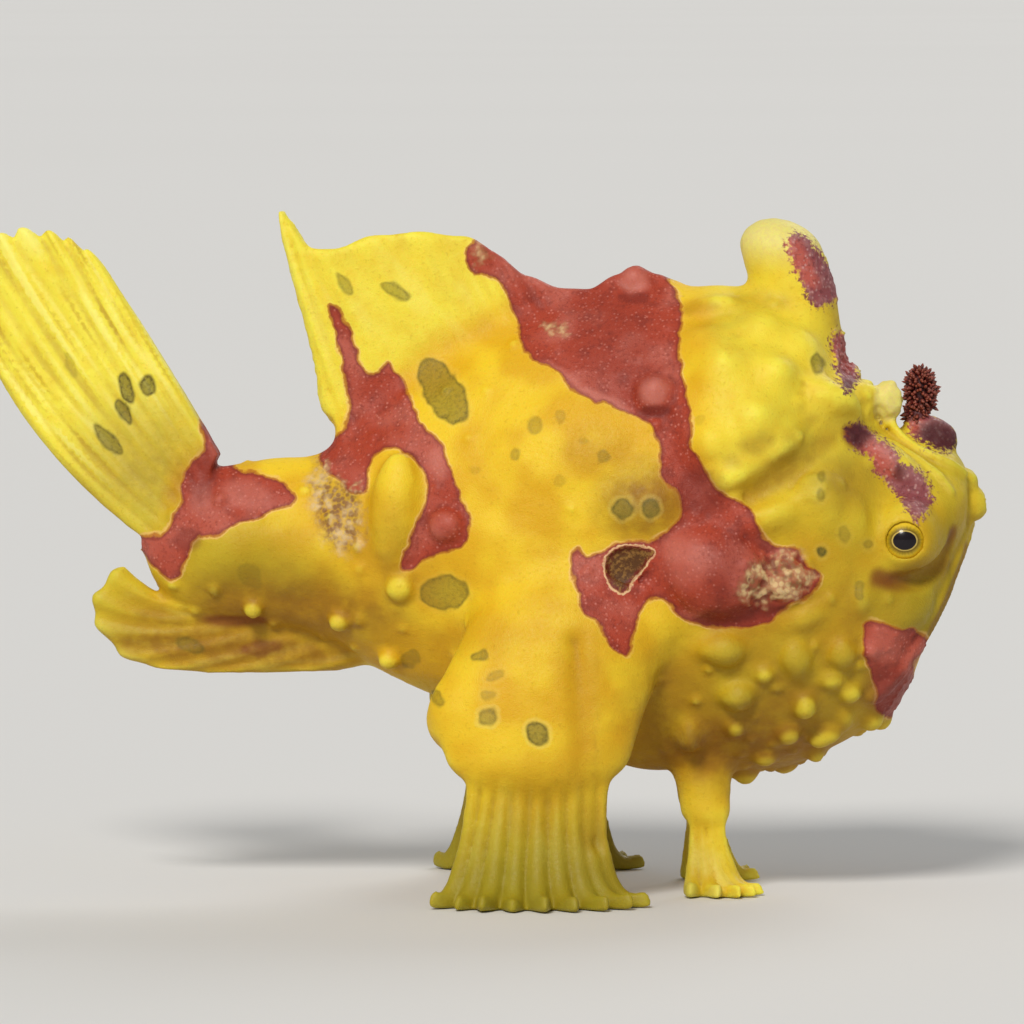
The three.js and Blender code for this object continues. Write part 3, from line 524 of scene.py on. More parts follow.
def plate(front, back):
    """A closed surface between two like grids of points."""
    n, m = front.shape[:2]
    index = np.arange(n * m).reshape(n, m)
    face = np.stack([index[:-1, :-1], index[1:, :-1], index[1:, 1:], index[:-1, 1:]], -1).reshape(-1, 4)
    loop = np.concatenate([index[:-1, 0], index[-1, :-1], index[:0:-1, -1], index[0, :0:-1]])
    after = np.roll(loop, -1)
    far = n * m
    rim = np.stack([after, loop, loop + far, after + far], -1)
    quads = np.vstack([face, face[:, ::-1] + far, rim])
    points = np.vstack([front.reshape(-1, 3), back.reshape(-1, 3)])
    return facing_out(points, quads, np.zeros((0, 3), int))


def body_surface():
    share = np.linspace(0, 1, 160)[1:-1]
    x = mix(BODY_START, BODY_END, 0.5 - 0.5 * np.cos(np.pi * share))
    angle = np.linspace(0, 2 * np.pi, 160, endpoint=False)
    rings = skin_point(x[:, None], angle[None, :])
    return lofted(rings, [BODY_START, 0, BACK[0][1]], [BODY_END, 0, BACK[-1][1]])


def limb_surface(keys, cap=0.18):
    """A limb or spine through its ovals, with rounded ends. cap is the share of its length that rounds."""
    path = curve([key["at"] for key in keys])
    share = np.linspace(0, 1, 70)[1:-1]
    knots = np.linspace(0, 1, len(keys))
    a = np.interp(share, knots, [key["a"] for key in keys])
    b = np.interp(share, knots, [key["b"] for key in keys])
    over = (share - np.clip(share, cap, 1 - cap)) / cap
    round_end = np.sqrt(np.maximum(0, 1 - over * over))
    angle = np.linspace(0, 2 * np.pi, 72, endpoint=False)
    rings = np.repeat(path(share)[:, None, :], len(angle), 1)
    rings[..., 0] += (a * round_end)[:, None] * np.cos(angle)
    rings[..., 1] += (b * round_end)[:, None] * np.sin(angle)
    return lofted(rings, path(0.0), path(1.0))


def fin_middle(form, side, seed):
    """Shares across and along a fin's rays, how near a ray each row is, and the fin's middle surface."""
    keys = np.array([[on_side(side, point) for point in ray] for ray in form["keys"]], float)
    rays = form["rays"]
    u = np.linspace(0, 1, rays * 12 + 1)
    v = np.linspace(0, 1, 60)
    root, bend, tip = (curve(keys[:, n])(u) for n in range(3))
    crest = 0.5 - 0.5 * np.cos(2 * np.pi * rays * u)
    way = tip - bend
    way /= np.linalg.norm(way, axis=1)[:, None]
    uneven = noise(np.stack([u * rays * 1.3, u * 0, u * 0], -1), 1.0, seed + 5)
    tip = tip + way * (form["scallop"] * (crest + 0.35 * uneven * crest))[:, None]
    tip = tip - way * (form.get("notch", 0) * (1 - crest**0.6))[:, None]
    w = 1 - v
    shares = ((root, w * w), (bend, 2 * v * w), (tip, v * v))
    middle = sum(line[:, None] * share[:, None] for line, share in shares)
    return u, v, crest, middle


def fin_surface(form, side, seed):
    """A curved plate with two faces. Each ray is a ridge on both, and the margin is scalloped to it."""
    u, v, crest, middle = fin_middle(form, side, seed)
    facing = np.cross(np.gradient(middle, axis=1), np.gradient(middle, axis=0))
    facing /= np.linalg.norm(facing, axis=2)[..., None]
    sharp = crest**1.5
    edge = mix(1, np.clip(4 * form["rays"] * np.minimum(u, 1 - u), 0.4, 1)[:, None], v)
    half = mix(form["root"], form["tip"], v) * edge + form["ridge"] * sharp[:, None] * mix(0.4, 1, v)
    ending = np.clip((v - 0.96) / 0.04, 0, 1)
    half = half * mix(1, 0.55, ending**2)
    return plate(middle + facing * half[..., None], middle - facing * half[..., None])


# Distances on a grid
def smooth_min(a, b, blend):
    h = np.maximum(blend - np.abs(a - b), 0) / blend
    return np.minimum(a, b) - h * h * (blend / 4)


def smooth_max(a, b, blend):
    return -smooth_min(-a, -b, blend)


def turned_by(tilt):
    """The axes of a shape that is turned about Y, as the rows of a matrix."""
    c, s = math.cos(tilt), math.sin(tilt)
    return np.array([[c, 0, -s], [0, 1, 0], [s, 0, c]])


def axes_along(out):
    """Axes whose third one is out, as the rows of a matrix."""
    out = np.asarray(out, float)
    side = np.cross(out, [0, 0, 1] if abs(out[2]) < 0.9 else [1, 0, 0])
    side /= np.linalg.norm(side)
    return np.array([side, np.cross(out, side), out])


class Flesh:
    """Distances in mm on a grid, negative inside, to which shapes are added."""

    def __init__(self):
        self.first = np.floor(np.array(FIELD_LOW) / STEP).astype(int)
        self.size = np.ceil(np.array(FIELD_HIGH) / STEP).astype(int) - self.first + 1
        self.values = np.full(self.size, BAND, np.float32)

    def window(self, low, high):
        a = np.clip(np.floor(np.asarray(low) / STEP).astype(int) - self.first, 0, self.size)
        b = np.clip(np.ceil(np.asarray(high) / STEP).astype(int) - self.first + 1, 0, self.size)
        part = tuple(slice(i, j) for i, j in zip(a, b))
        grid = [((np.arange(i, j) + f) * STEP).astype(np.float32) for i, j, f in zip(a, b, self.first)]
        return part, np.meshgrid(*grid, indexing="ij", sparse=True)

    def join(self, part, distance, blend):
        self.values[part] = smooth_min(self.values[part], distance, blend)

    def cut(self, part, distance, blend):
        self.values[part] = smooth_max(self.values[part], -distance, blend)

    def surface(self, made, blend):
        points, quads, corners = made
        grid = vdb.FloatGrid.createLevelSetFromPolygons(
            points.astype(np.float32),
            triangles=np.ascontiguousarray(corners, np.uint32),
            quads=np.ascontiguousarray(quads, np.uint32),
            transform=vdb.createLinearTransform(voxelSize=STEP),
            halfWidth=BAND / STEP,
        )
        low, high = (np.array(c) for c in grid.evalActiveVoxelBoundingBox())
        found = np.full(high - low + 1, BAND, np.float32)
        grid.copyToArray(found, ijk=tuple(int(i) for i in low))
        a = np.maximum(low, self.first)
        b = np.minimum(high, self.first + self.size - 1)
        inner = tuple(slice(i, j) for i, j in zip(a - low, b - low + 1))
        part = tuple(slice(i, j) for i, j in zip(a - self.first, b - self.first + 1))
        self.join(part, found[inner], blend)

    def ellipsoid(self, at, radii, axes=None, blend=0.8, cut=False):
        reach = max(radii) + blend + 2 * STEP
        part, grid = self.window(np.array(at) - reach, np.array(at) + reach)
        p = [g - c for g, c in zip(grid, at)]
        if axes is not None:
            p = [sum(float(axes[i][j]) * p[j] for j in range(3)) for i in range(3)]
        k0 = np.sqrt(sum((q / r) ** 2 for q, r in zip(p, radii)))
        k1 = np.sqrt(sum((q / (r * r)) ** 2 for q, r in zip(p, radii)))
        distance = (k0 * (k0 - 1) / np.maximum(k1, 1e-4)).astype(np.float32)
        (self.cut if cut else self.join)(part, distance, blend)

    def rod(self, points, radii, blend, cut=False):
        """A round rod along points, with a radius at each."""
        points = np.asarray(points, float)
        radii = np.broadcast_to(np.asarray(radii, float), len(points))
        reach = float(radii.max()) + blend + 2 * STEP
        part, grid = self.window(points.min(0) - reach, points.max(0) + reach)
        distance = np.full(self.values[part].shape, BAND * 2, np.float32)
        for a, b, ra, rb in zip(points[:-1], points[1:], radii[:-1], radii[1:]):
            way = b - a
            p = [g - c for g, c in zip(grid, a)]
            t = np.clip(sum(q * w for q, w in zip(p, way)) / (way @ way), 0, 1)
            gap = np.sqrt(sum((q - t * w) ** 2 for q, w in zip(p, way))) - mix(ra, rb, t)
            distance = np.minimum(distance, gap)
        (self.cut if cut else self.join)(part, distance.astype(np.float32), blend)

    def ring(self, at, out, radius, tube, blend):
        reach = radius + tube + blend + 2 * STEP
        part, grid = self.window(np.array(at) - reach, np.array(at) + reach)
        p = [g - c for g, c in zip(grid, at)]
        along = sum(q * float(o) for q, o in zip(p, out))
        across = np.sqrt(np.maximum(sum(q * q for q in p) - along**2, 0))
        self.join(part, np.sqrt((across - radius) ** 2 + along**2) - tube, blend)

    def sample(self, points):
        """The distance at each point, between the grid's values."""
        p = points / STEP - self.first
        i = np.clip(np.floor(p).astype(int), 0, self.size - 2)
        f = p - i
        total = np.zeros(len(points))
        for corner in np.ndindex(2, 2, 2):
            weight = np.prod(np.where(np.array(corner, bool), f, 1 - f), axis=1)
            j = i + corner
            total += weight * self.values[j[:, 0], j[:, 1], j[:, 2]]
        return total

    def mesh(self):
        grid = vdb.FloatGrid(background=BAND)
        grid.copyFromArray(self.values, ijk=tuple(int(i) for i in self.first))
        grid.transform = vdb.createLinearTransform(voxelSize=STEP)
        points, quads = grid.convertToQuads(isovalue=0.0)
        return points.astype(float), quads.astype(int)


# Meshes
def vertex_normals(points, quads):
    a, b, c, d = (points[quads[:, k]] for k in range(4))
    face = np.cross(c - a, d - b)
    normals = np.stack([
        sum(np.bincount(quads[:, k], face[:, axis], len(points)) for k in range(4)) for axis in range(3)
    ], -1)
    return normals / np.maximum(np.linalg.norm(normals, axis=1), 1e-12)[:, None]


def without_crumbs(points, quads):
    """The mesh's largest joined piece."""
    piece = np.arange(len(points))
    ends = np.vstack([quads[:, [0, 1]], quads[:, [1, 2]], quads[:, [2, 3]]])
    while True:
        a, b = piece[ends[:, 0]], piece[ends[:, 1]]
        lower = np.minimum(a, b)
        joined = piece.copy()
        np.minimum.at(joined, a, lower)
        np.minimum.at(joined, b, lower)
        while not np.array_equal(joined, joined[joined]):
            joined = joined[joined]
        if np.array_equal(joined, piece):
            break
        piece = joined
    kept = piece == np.bincount(piece).argmax()
    index = np.cumsum(kept) - 1
    return points[kept], index[quads[kept[quads[:, 0]]]]


class Ring:
    """The neighbours of each vertex, for smoothing what lies on them."""

    def __init__(self, quads, count):
        edges = np.vstack([quads[:, [0, 1]], quads[:, [1, 2]], quads[:, [2, 3]], quads[:, [3, 0]]])
        self.a = np.concatenate([edges[:, 0], edges[:, 1]])
        self.b = np.concatenate([edges[:, 1], edges[:, 0]])
        self.count = count
        self.degree = np.bincount(self.a, minlength=count)

    def mean(self, values):
        if values.ndim == 1:
            return np.bincount(self.a, values[self.b], self.count) / self.degree
        return np.stack([self.mean(values[:, k]) for k in range(values.shape[1])], -1)

    def smoothed(self, values, times):
        for _ in range(times):
            values = mix(values, self.mean(values), 0.5)
        return values


def squared_gap(points, a, b):
    """The squared distance from each point to the straight line from a to b."""
    way = b - a
    t = np.clip((points - a) @ way / (way @ way), 0, 1)
    return ((points - a - t[:, None] * way) ** 2).sum(1)


def signed_distance(px, outline):
    """Distance in pixels from each point to a closed outline, positive inside."""
    ends = np.array(outline, float)
    nearest = np.full(len(px), 1e9)
    inside = np.zeros(len(px), bool)
    for a, b in zip(ends, np.roll(ends, -1, 0)):
        way = b - a
        nearest = np.minimum(nearest, squared_gap(px, a, b))
        crosses = (a[1] > px[:, 1]) != (b[1] > px[:, 1])
        at = a[0] + (px[:, 1] - a[1]) * way[0] / (way[1] if way[1] else 1e-9)
        inside ^= crosses & (px[:, 0] < at)
    return np.sqrt(nearest) * np.where(inside, 1, -1)


def rounded(outline, times=2):
    """A closed outline with its corners cut, so that it curves."""
    points = np.array(outline, float)
    for _ in range(times):
        after = np.roll(points, -1, 0)
        points = np.stack([mix(points, after, 0.25), mix(points, after, 0.75)], 1).reshape(-1, 2)
    return points


# Camera
def camera_axes():
    e = math.radians(CAMERA_ELEVATION)
    back = np.array([0, -math.cos(e), math.sin(e)])
    up = np.array([0, math.sin(e), math.cos(e)])
    return np.array([1.0, 0, 0]), up, back


def seen(points):
    """The photograph's pixels at which the camera sees points."""
    right, up, back = camera_axes()
    p = points - np.array(VIEW_MIDDLE)
    scale = CAMERA_DISTANCE / (CAMERA_DISTANCE - p @ back)
    half = VIEW_WIDTH / 2
    return PIXELS_PER_MM * np.stack([half + (p @ right) * scale, half - (p @ up) * scale], -1)


# Shapes of the flesh
def seen_place(x, z):
    """The x and z at which the right flank is seen where x and z of the middle plane are."""
    goal = np.array([x * PIXELS_PER_MM, FLOOR_ROW - z * PIXELS_PER_MM])
    for _ in range(4):
        column, row = (goal - seen(flank_point(RIGHT, x, z))) / PIXELS_PER_MM
        x, z = x + column, z - row
    return x, z


def side_place(pixel):
    return seen_place(pixel[0] / PIXELS_PER_MM, (FLOOR_ROW - pixel[1]) / PIXELS_PER_MM)


def along_flank(side, points, lift=0.0):
    """Points of one flank from their [x, z] in the side view, lifted out of the skin."""
    return [flank_point(side, x, z) + lift * flank_normal(side, x, z) for x, z in points]


def bulge(flesh, side, x, z, along, up, height, blend, tilt):
    """A low swelling of one flank, along and up its half sizes in the side view."""
    out = flank_normal(side, x, z)
    level = np.cross([0, 0, 1.0], out) if abs(out[2]) < 0.9 else np.array([1.0, 0, 0])
    level /= np.linalg.norm(level)
    rise = np.cross(out, level)
    c, s = math.cos(tilt), math.sin(tilt)
    axes = np.array([c * level + s * rise, c * rise - s * level, out])
    depth = height + 1.4
    flesh.ellipsoid(flank_point(side, x, z) + out * (height - depth), [along, up, depth], axes, blend)


# How near a fin's middle surface its streaks are painted, and each fin's side and seed
FIN_REACH = 2.2
MIDDLE_FINS = [(DORSAL_FIN, RIGHT, 0), (ANAL_FIN, RIGHT, 1), (TAIL_FIN, RIGHT, 2)]
HANDS_AND_FEET = [(HAND, 7), (FOOT, 8)]


def fin_places(points):
    """How far each point is along a fin's rays, its place across them in rays, and how streaked it is."""
    along, ray, share = np.zeros((3, len(points)))
    hands_and_feet = [(form, side, seed) for form, seed in HANDS_AND_FEET for side in SIDES]
    for form, side, seed in MIDDLE_FINS + hands_and_feet:
        middle = fin_middle(form, side, seed)[3][:, ::2]
        rows, columns = middle.shape[:2]
        grid = middle.reshape(-1, 3)
        a, b = (np.gradient(middle, axis=axis).reshape(-1, 3) for axis in (0, 1))
        tree = KDTree(len(grid))
        for i, place in enumerate(grid):
            tree.insert(place, i)
        tree.balance()
        inside = (points > grid.min(0) - FIN_REACH) & (points < grid.max(0) + FIN_REACH)
        near = np.flatnonzero(np.all(inside, axis=1))
        found = np.array([tree.find(points[i])[1] for i in near])
        gap, a, b = points[near] - grid[found], a[found], b[found]
        aa, ab, bb = (a * a).sum(1), (a * b).sum(1), (b * b).sum(1)
        ga, gb = (gap * a).sum(1), (gap * b).sum(1)
        whole = np.maximum(aa * bb - ab * ab, 1e-9)
        across = np.clip((ga * bb - gb * ab) / whole, -0.6, 0.6)
        down = np.clip((gb * aa - ga * ab) / whole, -0.6, 0.6)
        distance = np.linalg.norm(gap - across[:, None] * a - down[:, None] * b, axis=1)
        across = (found // columns + across) / (rows - 1) * form["rays"]
        down = (found % columns + down) / (columns - 1)
        amount = np.clip((1 - distance / FIN_REACH) * 2.2, 0, 1) * np.clip(down * 2.5, 0, 1)
        amount *= form["streaked"]
        more = amount > share[near]
        for values, new in ((along, down), (ray, across), (share, amount)):
            values[near[more]] = new[more]
    return along, ray, share


def add_fins(flesh):
    for form, side, seed in MIDDLE_FINS:
        flesh.surface(fin_surface(form, side, seed), form["blend"])


# The fold along the right arm
ARM_FOLD = [
    [57.4, -17.0, 26], [57.9, -18.5, 20.5], [58.3, -19.2, 15], [58.8, -19.2, 10.5], [59.4, -18.0, 6.5],
]
ARM_FOLD_RADII = [0.1, 0.3, 0.4, 0.4, 0.2]
FLOOR_LEVEL = 0.03
FRILL_DEPTH = 0.45


def add_limb(flesh, side, keys, blend):
    flesh.surface(limb_surface([{**key, "at": on_side(side, key["at"])} for key in keys]), blend)


def add_limbs(flesh, side):
    add_limb(flesh, side, ARM, 2.6)
    flesh.ellipsoid(on_side(side, ELBOW["at"]), ELBOW["radii"], blend=1.6)
    add_limb(flesh, side, LEG, 1.8)
    for form, seed in HANDS_AND_FEET:
        flesh.surface(fin_surface(form, side, seed), form["blend"])
    flesh.rod([on_side(side, point) for point in ARM_FOLD], ARM_FOLD_RADII, 1.8, cut=True)


def add_spines(flesh):
    flesh.surface(limb_surface(THIRD_SPINE, cap=0.22), 1.6)
    lobe = SECOND_SPINE_LOBE
    flesh.ellipsoid(lobe["at"], lobe["radii"], turned_by(lobe["tilt"]), blend=1.2)
    for form in (SECOND_SPINE_TUFT, SECOND_SPINE_STEM):
        flesh.ellipsoid(form["at"], [r - FRILL_DEPTH for r in form["radii"]], blend=0.6)
    on_skin = [flank_point(RIGHT, x, z) + [0, -LURE_ROD_RADIUS, 0] for x, z in LURE_ROD]
    path = curve([*on_skin, LURE_ROD_END])(np.linspace(0, 1, 24))
    flesh.rod(path, LURE_ROD_RADIUS, 0.4)
    for form in (LURE_BAIT, BACK_KNOB):
        flesh.ellipsoid(form["at"], form["radii"], blend=0.3)


# Small forms of the head: [x, distance from the middle plane, z], half axes, tilt and blend
BROW_FORMS = [
    [[89.2, 7.2, 43], [4.6, 2, 1.5], 0.72, 1.3],
    [[85, 2.6, 48.8], [2, 2.2, 1.6], 0.5, 1.2],
]
SNOUT_FORMS = [
    [[96.8, 2, 38.7], [1.95, 1.6, 1.85], 0.1, 0.6],
    [[96.6, 2.2, 41], [1.15, 1.1, 1.1], 0, 0.6],
]
# Cheeks: x, z, half sizes, height, blend and turn
CHEEKS = [[91.0, 28.4, 3.2, 2.4, 0.8, 1.0, 0.5], [88.0, 24.6, 2.2, 2.8, 0.4, 1.2, 0.3]]
NOSTRIL = {"at": [98.7, 2, 38.9], "radii": [0.8, 0.5, 0.55]}
# Ridges and folds of the head in the side view, with their radii
BROW_RIDGE = [[87.9, 45.4], [89.8, 44.2], [91.9, 42.8], [94, 41.2], [95.2, 39.8]]
BROW_RIDGE_RADII = [0.3, 0.5, 0.55, 0.5, 0.3]
SNOUT_RIDGE = [[95.9, 43.6], [96.5, 42], [96.9, 40.4]]
CREASE = [
    [95.3, 35.6], [94.9, 34.0], [94.0, 32.4], [92.4, 31.2], [90.4, 30.8], [88.8, 30.9], [87.8, 31.3],
]
CREASE_RADII = [0.3, 0.8, 1.2, 1.2, 0.9, 0.5, 0.3]
# Knobs of the forehead: x, distance from the middle plane, z and radius
FOREHEAD_KNOBS = [[84.8, 1.4, 51.4, 1.0], [85.3, 3.0, 49.3, 1.8]]


def crease_line(side):
    """The fold under the eye."""
    return along_flank(side, [seen_place(x, z) for x, z in CREASE], 0.25)


def add_forms(flesh, side, forms):
    for (x, y, z), radii, tilt, blend in forms:
        flesh.ellipsoid([x, side * y, z], radii, turned_by(tilt), blend)


def add_head(flesh, side):
    add_forms(flesh, side, BROW_FORMS)
    for cheek in CHEEKS:
        bulge(flesh, side, *cheek)
    flesh.ellipsoid([ORBIT["x"], side * ORBIT["y"], ORBIT["z"]], [ORBIT["radius"]] * 3, blend=1.1)
    flesh.rod(crease_line(side), CREASE_RADII, 0.6, cut=True)
    brow = [seen_place(x, z) for x, z in BROW_RIDGE]
    flesh.rod(along_flank(side, brow, 0.1), BROW_RIDGE_RADII, 0.5)
    flesh.rod(along_flank(side, SNOUT_RIDGE, 0.1), 0.5, 0.7)
    add_forms(flesh, side, SNOUT_FORMS)
    for x, y, z, radius in FOREHEAD_KNOBS:
        flesh.ellipsoid([x, side * y, z], [radius * 1.3, radius, radius * 0.9], turned_by(-0.3), 0.9)


def add_mouth(flesh):
    right = along_flank(RIGHT, MOUTH_LINE[1:])[::-1]
    left = [point * [1, -1, 1] for point in right][::-1]
    line = curve([*right, [BODY_END - 0.3, 0, MOUTH_LINE[0][1] - 0.3], *left])(np.linspace(0, 1, 60))
    flesh.rod(line, LIP_RADIUS, 0.7)
    out = line - np.array(HEAD_MIDDLE)
    out /= np.linalg.norm(out, axis=1)[:, None]
    flesh.rod(line + out * LIP_RADIUS, MOUTH_GROOVE_RADIUS, 0.5, cut=True)


def on_eye_axis(side, out):
    return [EYE["x"], side * (EYE["y"] + out), EYE["z"]]


def open_head(flesh, side):
    """Open the lids and the nostril."""
    eye, rim, end = (on_eye_axis(side, out) for out in (0, 2.05, 4))
    flesh.ellipsoid(eye, [EYE["radius"] - 0.1] * 3, blend=0.15, cut=True)
    flesh.rod([rim, end], [EYE["opening"] - 0.4, EYE["opening"]], 0.9, cut=True)
    x, y, z = NOSTRIL["at"]
    flesh.ellipsoid([x, side * y, z], NOSTRIL["radii"], blend=0.25, cut=True)


def add_flanks(flesh, side):
    for swellings, blend in ((SWELLINGS, 1.0), (CROWN_SWELLINGS, 1.8)):
        for column, row, along, up, height, tilt in swellings:
            bulge(flesh, side, *side_place([column, row]), along, up, height, blend, tilt)
    crease = [side_place(pixel) for pixel in CROWN_CREASE]
    flesh.rod(along_flank(side, crease, 1.3), CROWN_CREASE_RADII, 1.8, cut=True)
    lobe = FLANK_LOBE
    flank = flank_point(side, lobe["x"], lobe["z"])[1]
    at = [lobe["x"], flank - side * lobe["sunk"], lobe["z"]]
    flesh.ellipsoid(at, lobe["radii"], turned_by(0.06), 0.8)


def add_scar(flesh, side):
    outline = [side_place(pixel) for pixel in rounded(SCAR, 1)]
    middle = np.mean(outline, axis=0)
    axes = axes_along(flank_normal(side, *middle))
    flesh.ellipsoid(flank_point(side, *middle), SCAR_PIT, axes, 0.5, cut=True)
    closed = [*outline, outline[0]]
    flesh.rod(along_flank(side, closed, 0.05), 0.2, 0.4)


def is_plain_skin(points):
    """Where warts may grow: away from eyes, mouth, limbs and fins."""
    x, y, z = points.T
    near_eye = from_eye(points) < ORBIT["radius"] + 0.9
    near_mouth = np.min([np.hypot(x - mx, z - mz) for mx, mz in MOUTH_LINE], axis=0) < 2.2
    on_limb = (np.abs(y) > np.abs(flank_point(RIGHT, x, z)[:, 1]) + 1.2) | (z < belly_at(x) - 1)
    on_fin = z > back_at(x) + 0.8
    return ~(near_eye | near_mouth | on_limb | on_fin)


def scattered(points, mask, apart, count, random):
    """Up to count of the points, no two closer than apart."""
    chosen = []
    for i in random.permutation(np.flatnonzero(mask)):
        if chosen and ((points[chosen] - points[i]) ** 2).sum(1).min() < apart * apart:
            continue
        chosen.append(i)
        if len(chosen) == count:
            break
    return chosen


def add_warts(flesh):
    points, quads = flesh.mesh()
    normals = vertex_normals(points, quads)
    if normals[np.argmax(points[:, 2])][2] < 0:
        normals = -normals
    random = np.random.default_rng(21)
    pixels = seen(on_right(points))
    plain = is_plain_skin(points)
    for column, row, along, up, *_ in SWELLINGS:
        plain &= oval_distance(pixels, column, row, along * PIXELS_PER_MM, up * PIXELS_PER_MM, 0) < -4
    x, z = points[:, 0], points[:, 2]

    def grow(mask, apart, count, least, greatest, height, blend):
        for i in scattered(points, mask, apart, count, random):
            radius = random.uniform(least, greatest)
            tall = radius * height * random.uniform(0.8, 1.25)
            oval = random.uniform(0.85, 1.15)
            at = points[i] + normals[i] * (0.1 * tall)
            flesh.ellipsoid(at, [radius * oval, radius / oval, tall], axes_along(normals[i]), blend)

    for x_from, x_to, z_from, z_to, *kind in WART_KINDS:
        grow((x > x_from) & (x < x_to) & (z > z_from) & (z < z_to) & plain, *kind)
    for outline, *kind in GRAIN_KINDS:
        grow(signed_distance(pixels, rounded(outline, 1)) > 1, *kind)
    for side in SIDES:
        for wx, wz, radius, tall in LARGE_WARTS:
            place = seen_place(wx, wz)
            out = flank_normal(side, *place)
            at = flank_point(side, *place) + out * (0.15 * tall)
            flesh.ellipsoid(at, [radius, radius, tall], axes_along(out), 0.8)


def oval_distance(px, column, row, length, width, turn):
    """Distance in pixels inside an oval, positive inside."""
    a = math.radians(turn)
    p = px - [column, row]
    along = p @ [math.cos(a), math.sin(a)]
    across = p @ [-math.sin(a), math.cos(a)]
    k0 = np.hypot(along / length, across / width)
    k1 = np.hypot(along / length**2, across / width**2)
    return -k0 * (k0 - 1) / np.maximum(k1, 1e-4)


# Paint
class Paint:
    """What the skin's material reads at each vertex: distances in mm inside markings, and shares."""

    def __init__(self, points, normals, ring, base, streaks, fin):
        self.points = points
        self.normals = normals
        self.ring = ring
        self.base = base
        self.layers = {"streaks": streaks, "fin": fin}
        wander = np.stack([noise(points, 7.0, 40), noise(points, 7.0, 41)], -1)
        far_side = ramp(points[:, 1], 0.5, 9)
        self.px = seen(on_right(points)) + wander * (far_side * 22)[:, None]
        self.wavy_px = self.px + 2.2 * np.stack([noise(points, 0.9, 42), noise(points, 0.9, 43)], -1)

    def patches(self, name, outlines):
        """The greatest distance in mm inside any of the outlines."""
        px = self.wavy_px
        far = -4.0 * PIXELS_PER_MM
        total = np.full(len(px), far)
        for outline in outlines:
            shape = rounded(outline)
            near = np.all((px > shape.min(0) + far) & (px < shape.max(0) - far), axis=1)
            total[near] = np.maximum(total[near], signed_distance(px[near], shape))
        self.layers[name] = np.clip(total, far, -far) / PIXELS_PER_MM

    def spots(self):
        """The nearest olive spot: distance in mm inside it, its strength and its ring's paleness."""
        best = np.full(len(self.px), -3.0)
        strength = np.zeros(len(self.px))
        ring = np.zeros(len(self.px))
        for column, row, length, width, turn, depth, pale in SPOTS:
            distance = oval_distance(self.wavy_px, column, row, length, width, turn) / PIXELS_PER_MM
            nearer = distance > best
            best = np.where(nearer, distance, best)
            strength = np.where(nearer, depth, strength)
            ring = np.where(nearer, pale, ring)
        self.layers.update(spot_edge=best, spot_depth=strength, spot_ring=ring)

    def stains(self, name, ovals, soft):
        """The greatest amount of any of the ovals, which fade over soft of their half widths."""
        total = np.zeros(len(self.px))
        for column, row, length, width, turn, amount in ovals:
            distance = oval_distance(self.wavy_px, column, row, length, width, turn)
            total = np.maximum(total, amount * ramp(distance, -soft * width, soft * width))
        self.layers[name] = total

    def tuft(self):
        """The core of the second spine's tuft and its stem are plum too."""
        inside = 0
        for form in (SECOND_SPINE_TUFT, SECOND_SPINE_STEM):
            place = (self.points - form["at"]) / form["radii"]
            inside = np.maximum(inside, 1 - ramp(np.linalg.norm(place, axis=1), 0.9, 1.2))
        self.layers["plum"] = np.maximum(self.layers["plum"], mix(-4, 2, inside))
        self.layers["darkest"] = np.maximum(self.layers["darkest"], inside)

    def crease_shade(self):
        """Painted shade along the folds of the skin, darkest along their bottoms."""
        side = on_right(self.points)
        total = np.zeros(len(side))
        folds = [
            (crease_line(RIGHT), 0.4, 1.35, 0.85),
            (ARM_FOLD, 0.2, 2.4, 0.15),
            (along_flank(RIGHT, HIND_FOLD, 0.2), 0.4, 1.2, 0.9),
            (along_flank(RIGHT, MOUTH_LINE[1:], 0.8), 0.4, 1.1, 0.6),
        ]
        for line, full, none, amount in folds:
            near = 1e9
            for a, b in zip(np.array(line)[:-1], np.array(line)[1:]):
                near = np.minimum(near, squared_gap(side, a, b))
            total = np.maximum(total, amount * (1 - ramp(np.sqrt(near), full, none)))
        self.layers["fold"] = total

    def relief(self):
        """Warts stand out from the plain body, and hollows lie between swellings."""
        self.layers["wart"] = np.clip(self.base.sample(self.points) / 0.9, 0, 1)
        for name, times in (("fine", 10), ("broad", 90)):
            away = self.points - self.ring.smoothed(self.points, times)
            height = (away * self.normals).sum(1)
            clear = ramp(from_eye(self.points), 1.9, 3.4)
            self.layers[name] = self.ring.smoothed(height, 2) * clear

    def zones(self):
        """Cream tips, the lemon parts of the skin, and painted shade on its underside."""
        x, y, z = self.points.T
        spine = ramp(z, 61.4, 65.4) * ramp(x, 71, 73) * (1 - ramp(x, 84, 86))
        bait = LURE_BAIT["at"]
        at_bait = 1 - ramp(np.linalg.norm(self.points - bait, axis=1), 1.7, 2.6)
        self.layers["cream"] = np.maximum(spine, at_bait)
        tail = 1 - ramp(x + 0.12 * (z - 34), 15.5, 18.5)
        tail_fin = tail * ramp(z, 35, 38)
        hand = 1 - ramp(z, 1.5, 13)
        dorsal = ramp(z - back_at(x), 0.5, 5) * (1 - ramp(x, 46, 68))
        anal = ramp(belly_at(x) - z, -1, 1) * (1 - ramp(x, 30, 38))
        crown = ramp(x, 69.5, 72.5) * ramp(z, 36, 44)
        lemon = 0.85 * tail_fin + 0.3 * hand + 0.8 * dorsal + 0.15 * anal + 0.6 * crown
        self.layers["lemon"] = np.clip(lemon, 0, 1)
        # painted shade on faces that look down, but not on the hands
        self.layers["under"] = ramp(-self.normals[:, 2], 0.1, 0.95) * (1 - hand)

